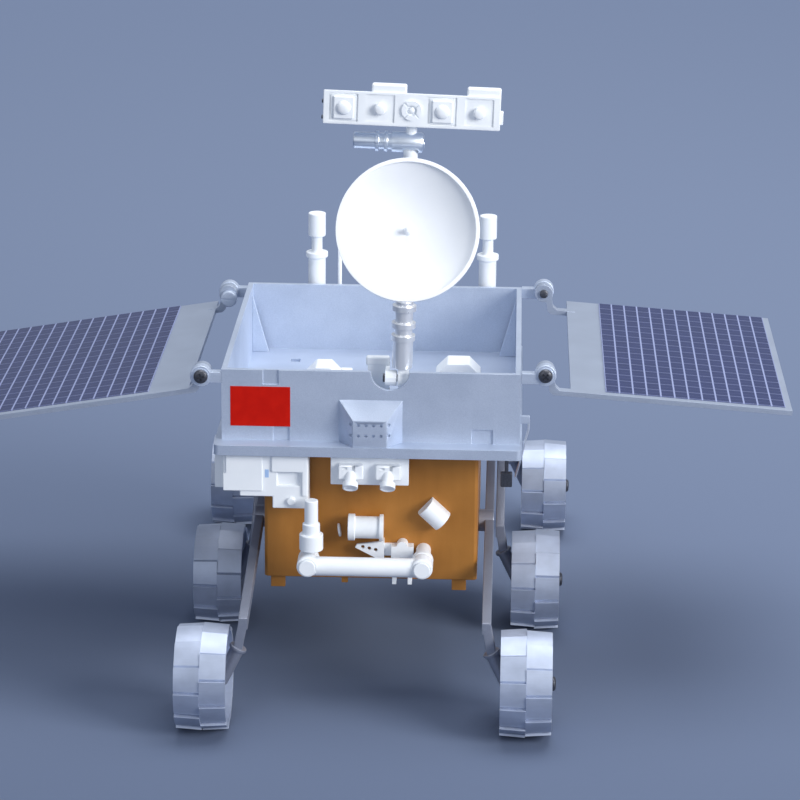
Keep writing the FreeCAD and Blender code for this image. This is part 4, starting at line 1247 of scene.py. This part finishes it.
ring_dome = turned(
    "ring_dome", place(ring_x, head_y + 0.1, lens_z), (0, -1, 0),
    ((0, 0.9), (0.5, 0.8), (0.7, 0.4)), sides=32, edge=0.1,
)
fitted(
    leaned(joined("head_ring_piece", ring, ring_dome)), "camera_head", white_moulding, "gunmetal",
    "head_ring",
)
end_marks = joined("head_end_marks", *[
    turned(
        "mark", place(-15.6, head_y + 1.2, z), (-1, 0, 0), ((0, 0.55), (0.5, 0.55)), sides=24,
        edge=0.1,
    )
    for z in (170.4, 166.0)
])
fixed(leaned(end_marks), "camera_head", screw_dark)

# Dish: spun thin and painted white, with a rolled rim, on a small yoke on the mast. A plain feed
# pin stands at its middle.
dish_radius = 18.9
dish_depth = 5.4
dish_thickness = 0.9
dish_steps = 18
rim_half_width = 0.55
rim_half_height = 0.65
sphere_radius = (dish_radius ** 2 + dish_depth ** 2) / (2 * dish_depth)
rim_angle = math.asin(dish_radius / sphere_radius)
elevation = math.radians(18.0)
facing = Vector((0, -math.cos(elevation), math.sin(elevation)))
dish_vertex = place(8.8, -11.5, 138.8) - facing * dish_depth * millimetre
shell_shares = [max(step / dish_steps, 0.02) for step in range(dish_steps + 1)]


def shell_points(radius, angles):
    return [
        (sphere_radius - radius * math.cos(angle), radius * math.sin(angle)) for angle in angles
    ]


dish_profile = shell_points(
    sphere_radius + dish_thickness, [rim_angle * share for share in shell_shares],
)
dish_profile += [
    (dish_depth - rim_half_height, dish_radius + rim_half_width),
    (dish_depth + rim_half_height, dish_radius + rim_half_width),
    (dish_depth + rim_half_height, dish_radius - rim_half_width),
    (dish_depth - 0.1, dish_radius - rim_half_width),
]
dish_profile += shell_points(
    sphere_radius, [rim_angle * share * 0.972 for share in reversed(shell_shares)],
)
shell = turned("shell", dish_vertex, facing, dish_profile, sides=96, edge=0.3)
tang = rounded(cast("dish"), 0.05)
lean = Euler((0, mast_lean, 0)).to_matrix()
shell_back = dish_vertex - facing * (dish_thickness + 0.02) * millimetre
open_mesh(tang)
bpy.ops.mesh.bisect(
    plane_co=mast_pivot + lean @ (shell_back - mast_pivot), plane_no=lean @ facing, use_fill=True,
    clear_outer=True,
)
close_mesh()
dish = joined("dish_piece", leaned(shell), tang)
dish_white = moulded("dish_white_paint", (0.93, 0.95, 0.98, 1), (0.90, 0.925, 0.96, 1), gloss=0.42)
fitted(dish, "dish", dish_white, "white_plastic", "dish")
feed = turned(
    "dish_feed_piece", dish_vertex, facing,
    ((0.02, 1.3), (0.5, 0.85), (1.2, 0.7), (2.6, 0.7), (2.9, 0.4)), sides=32, edge=0.08,
)
white_fitted(leaned(feed), "dish", "dish_feed")
white_fitted(rounded(cast("dish_yoke"), 0.12), "mast", "dish_yoke")
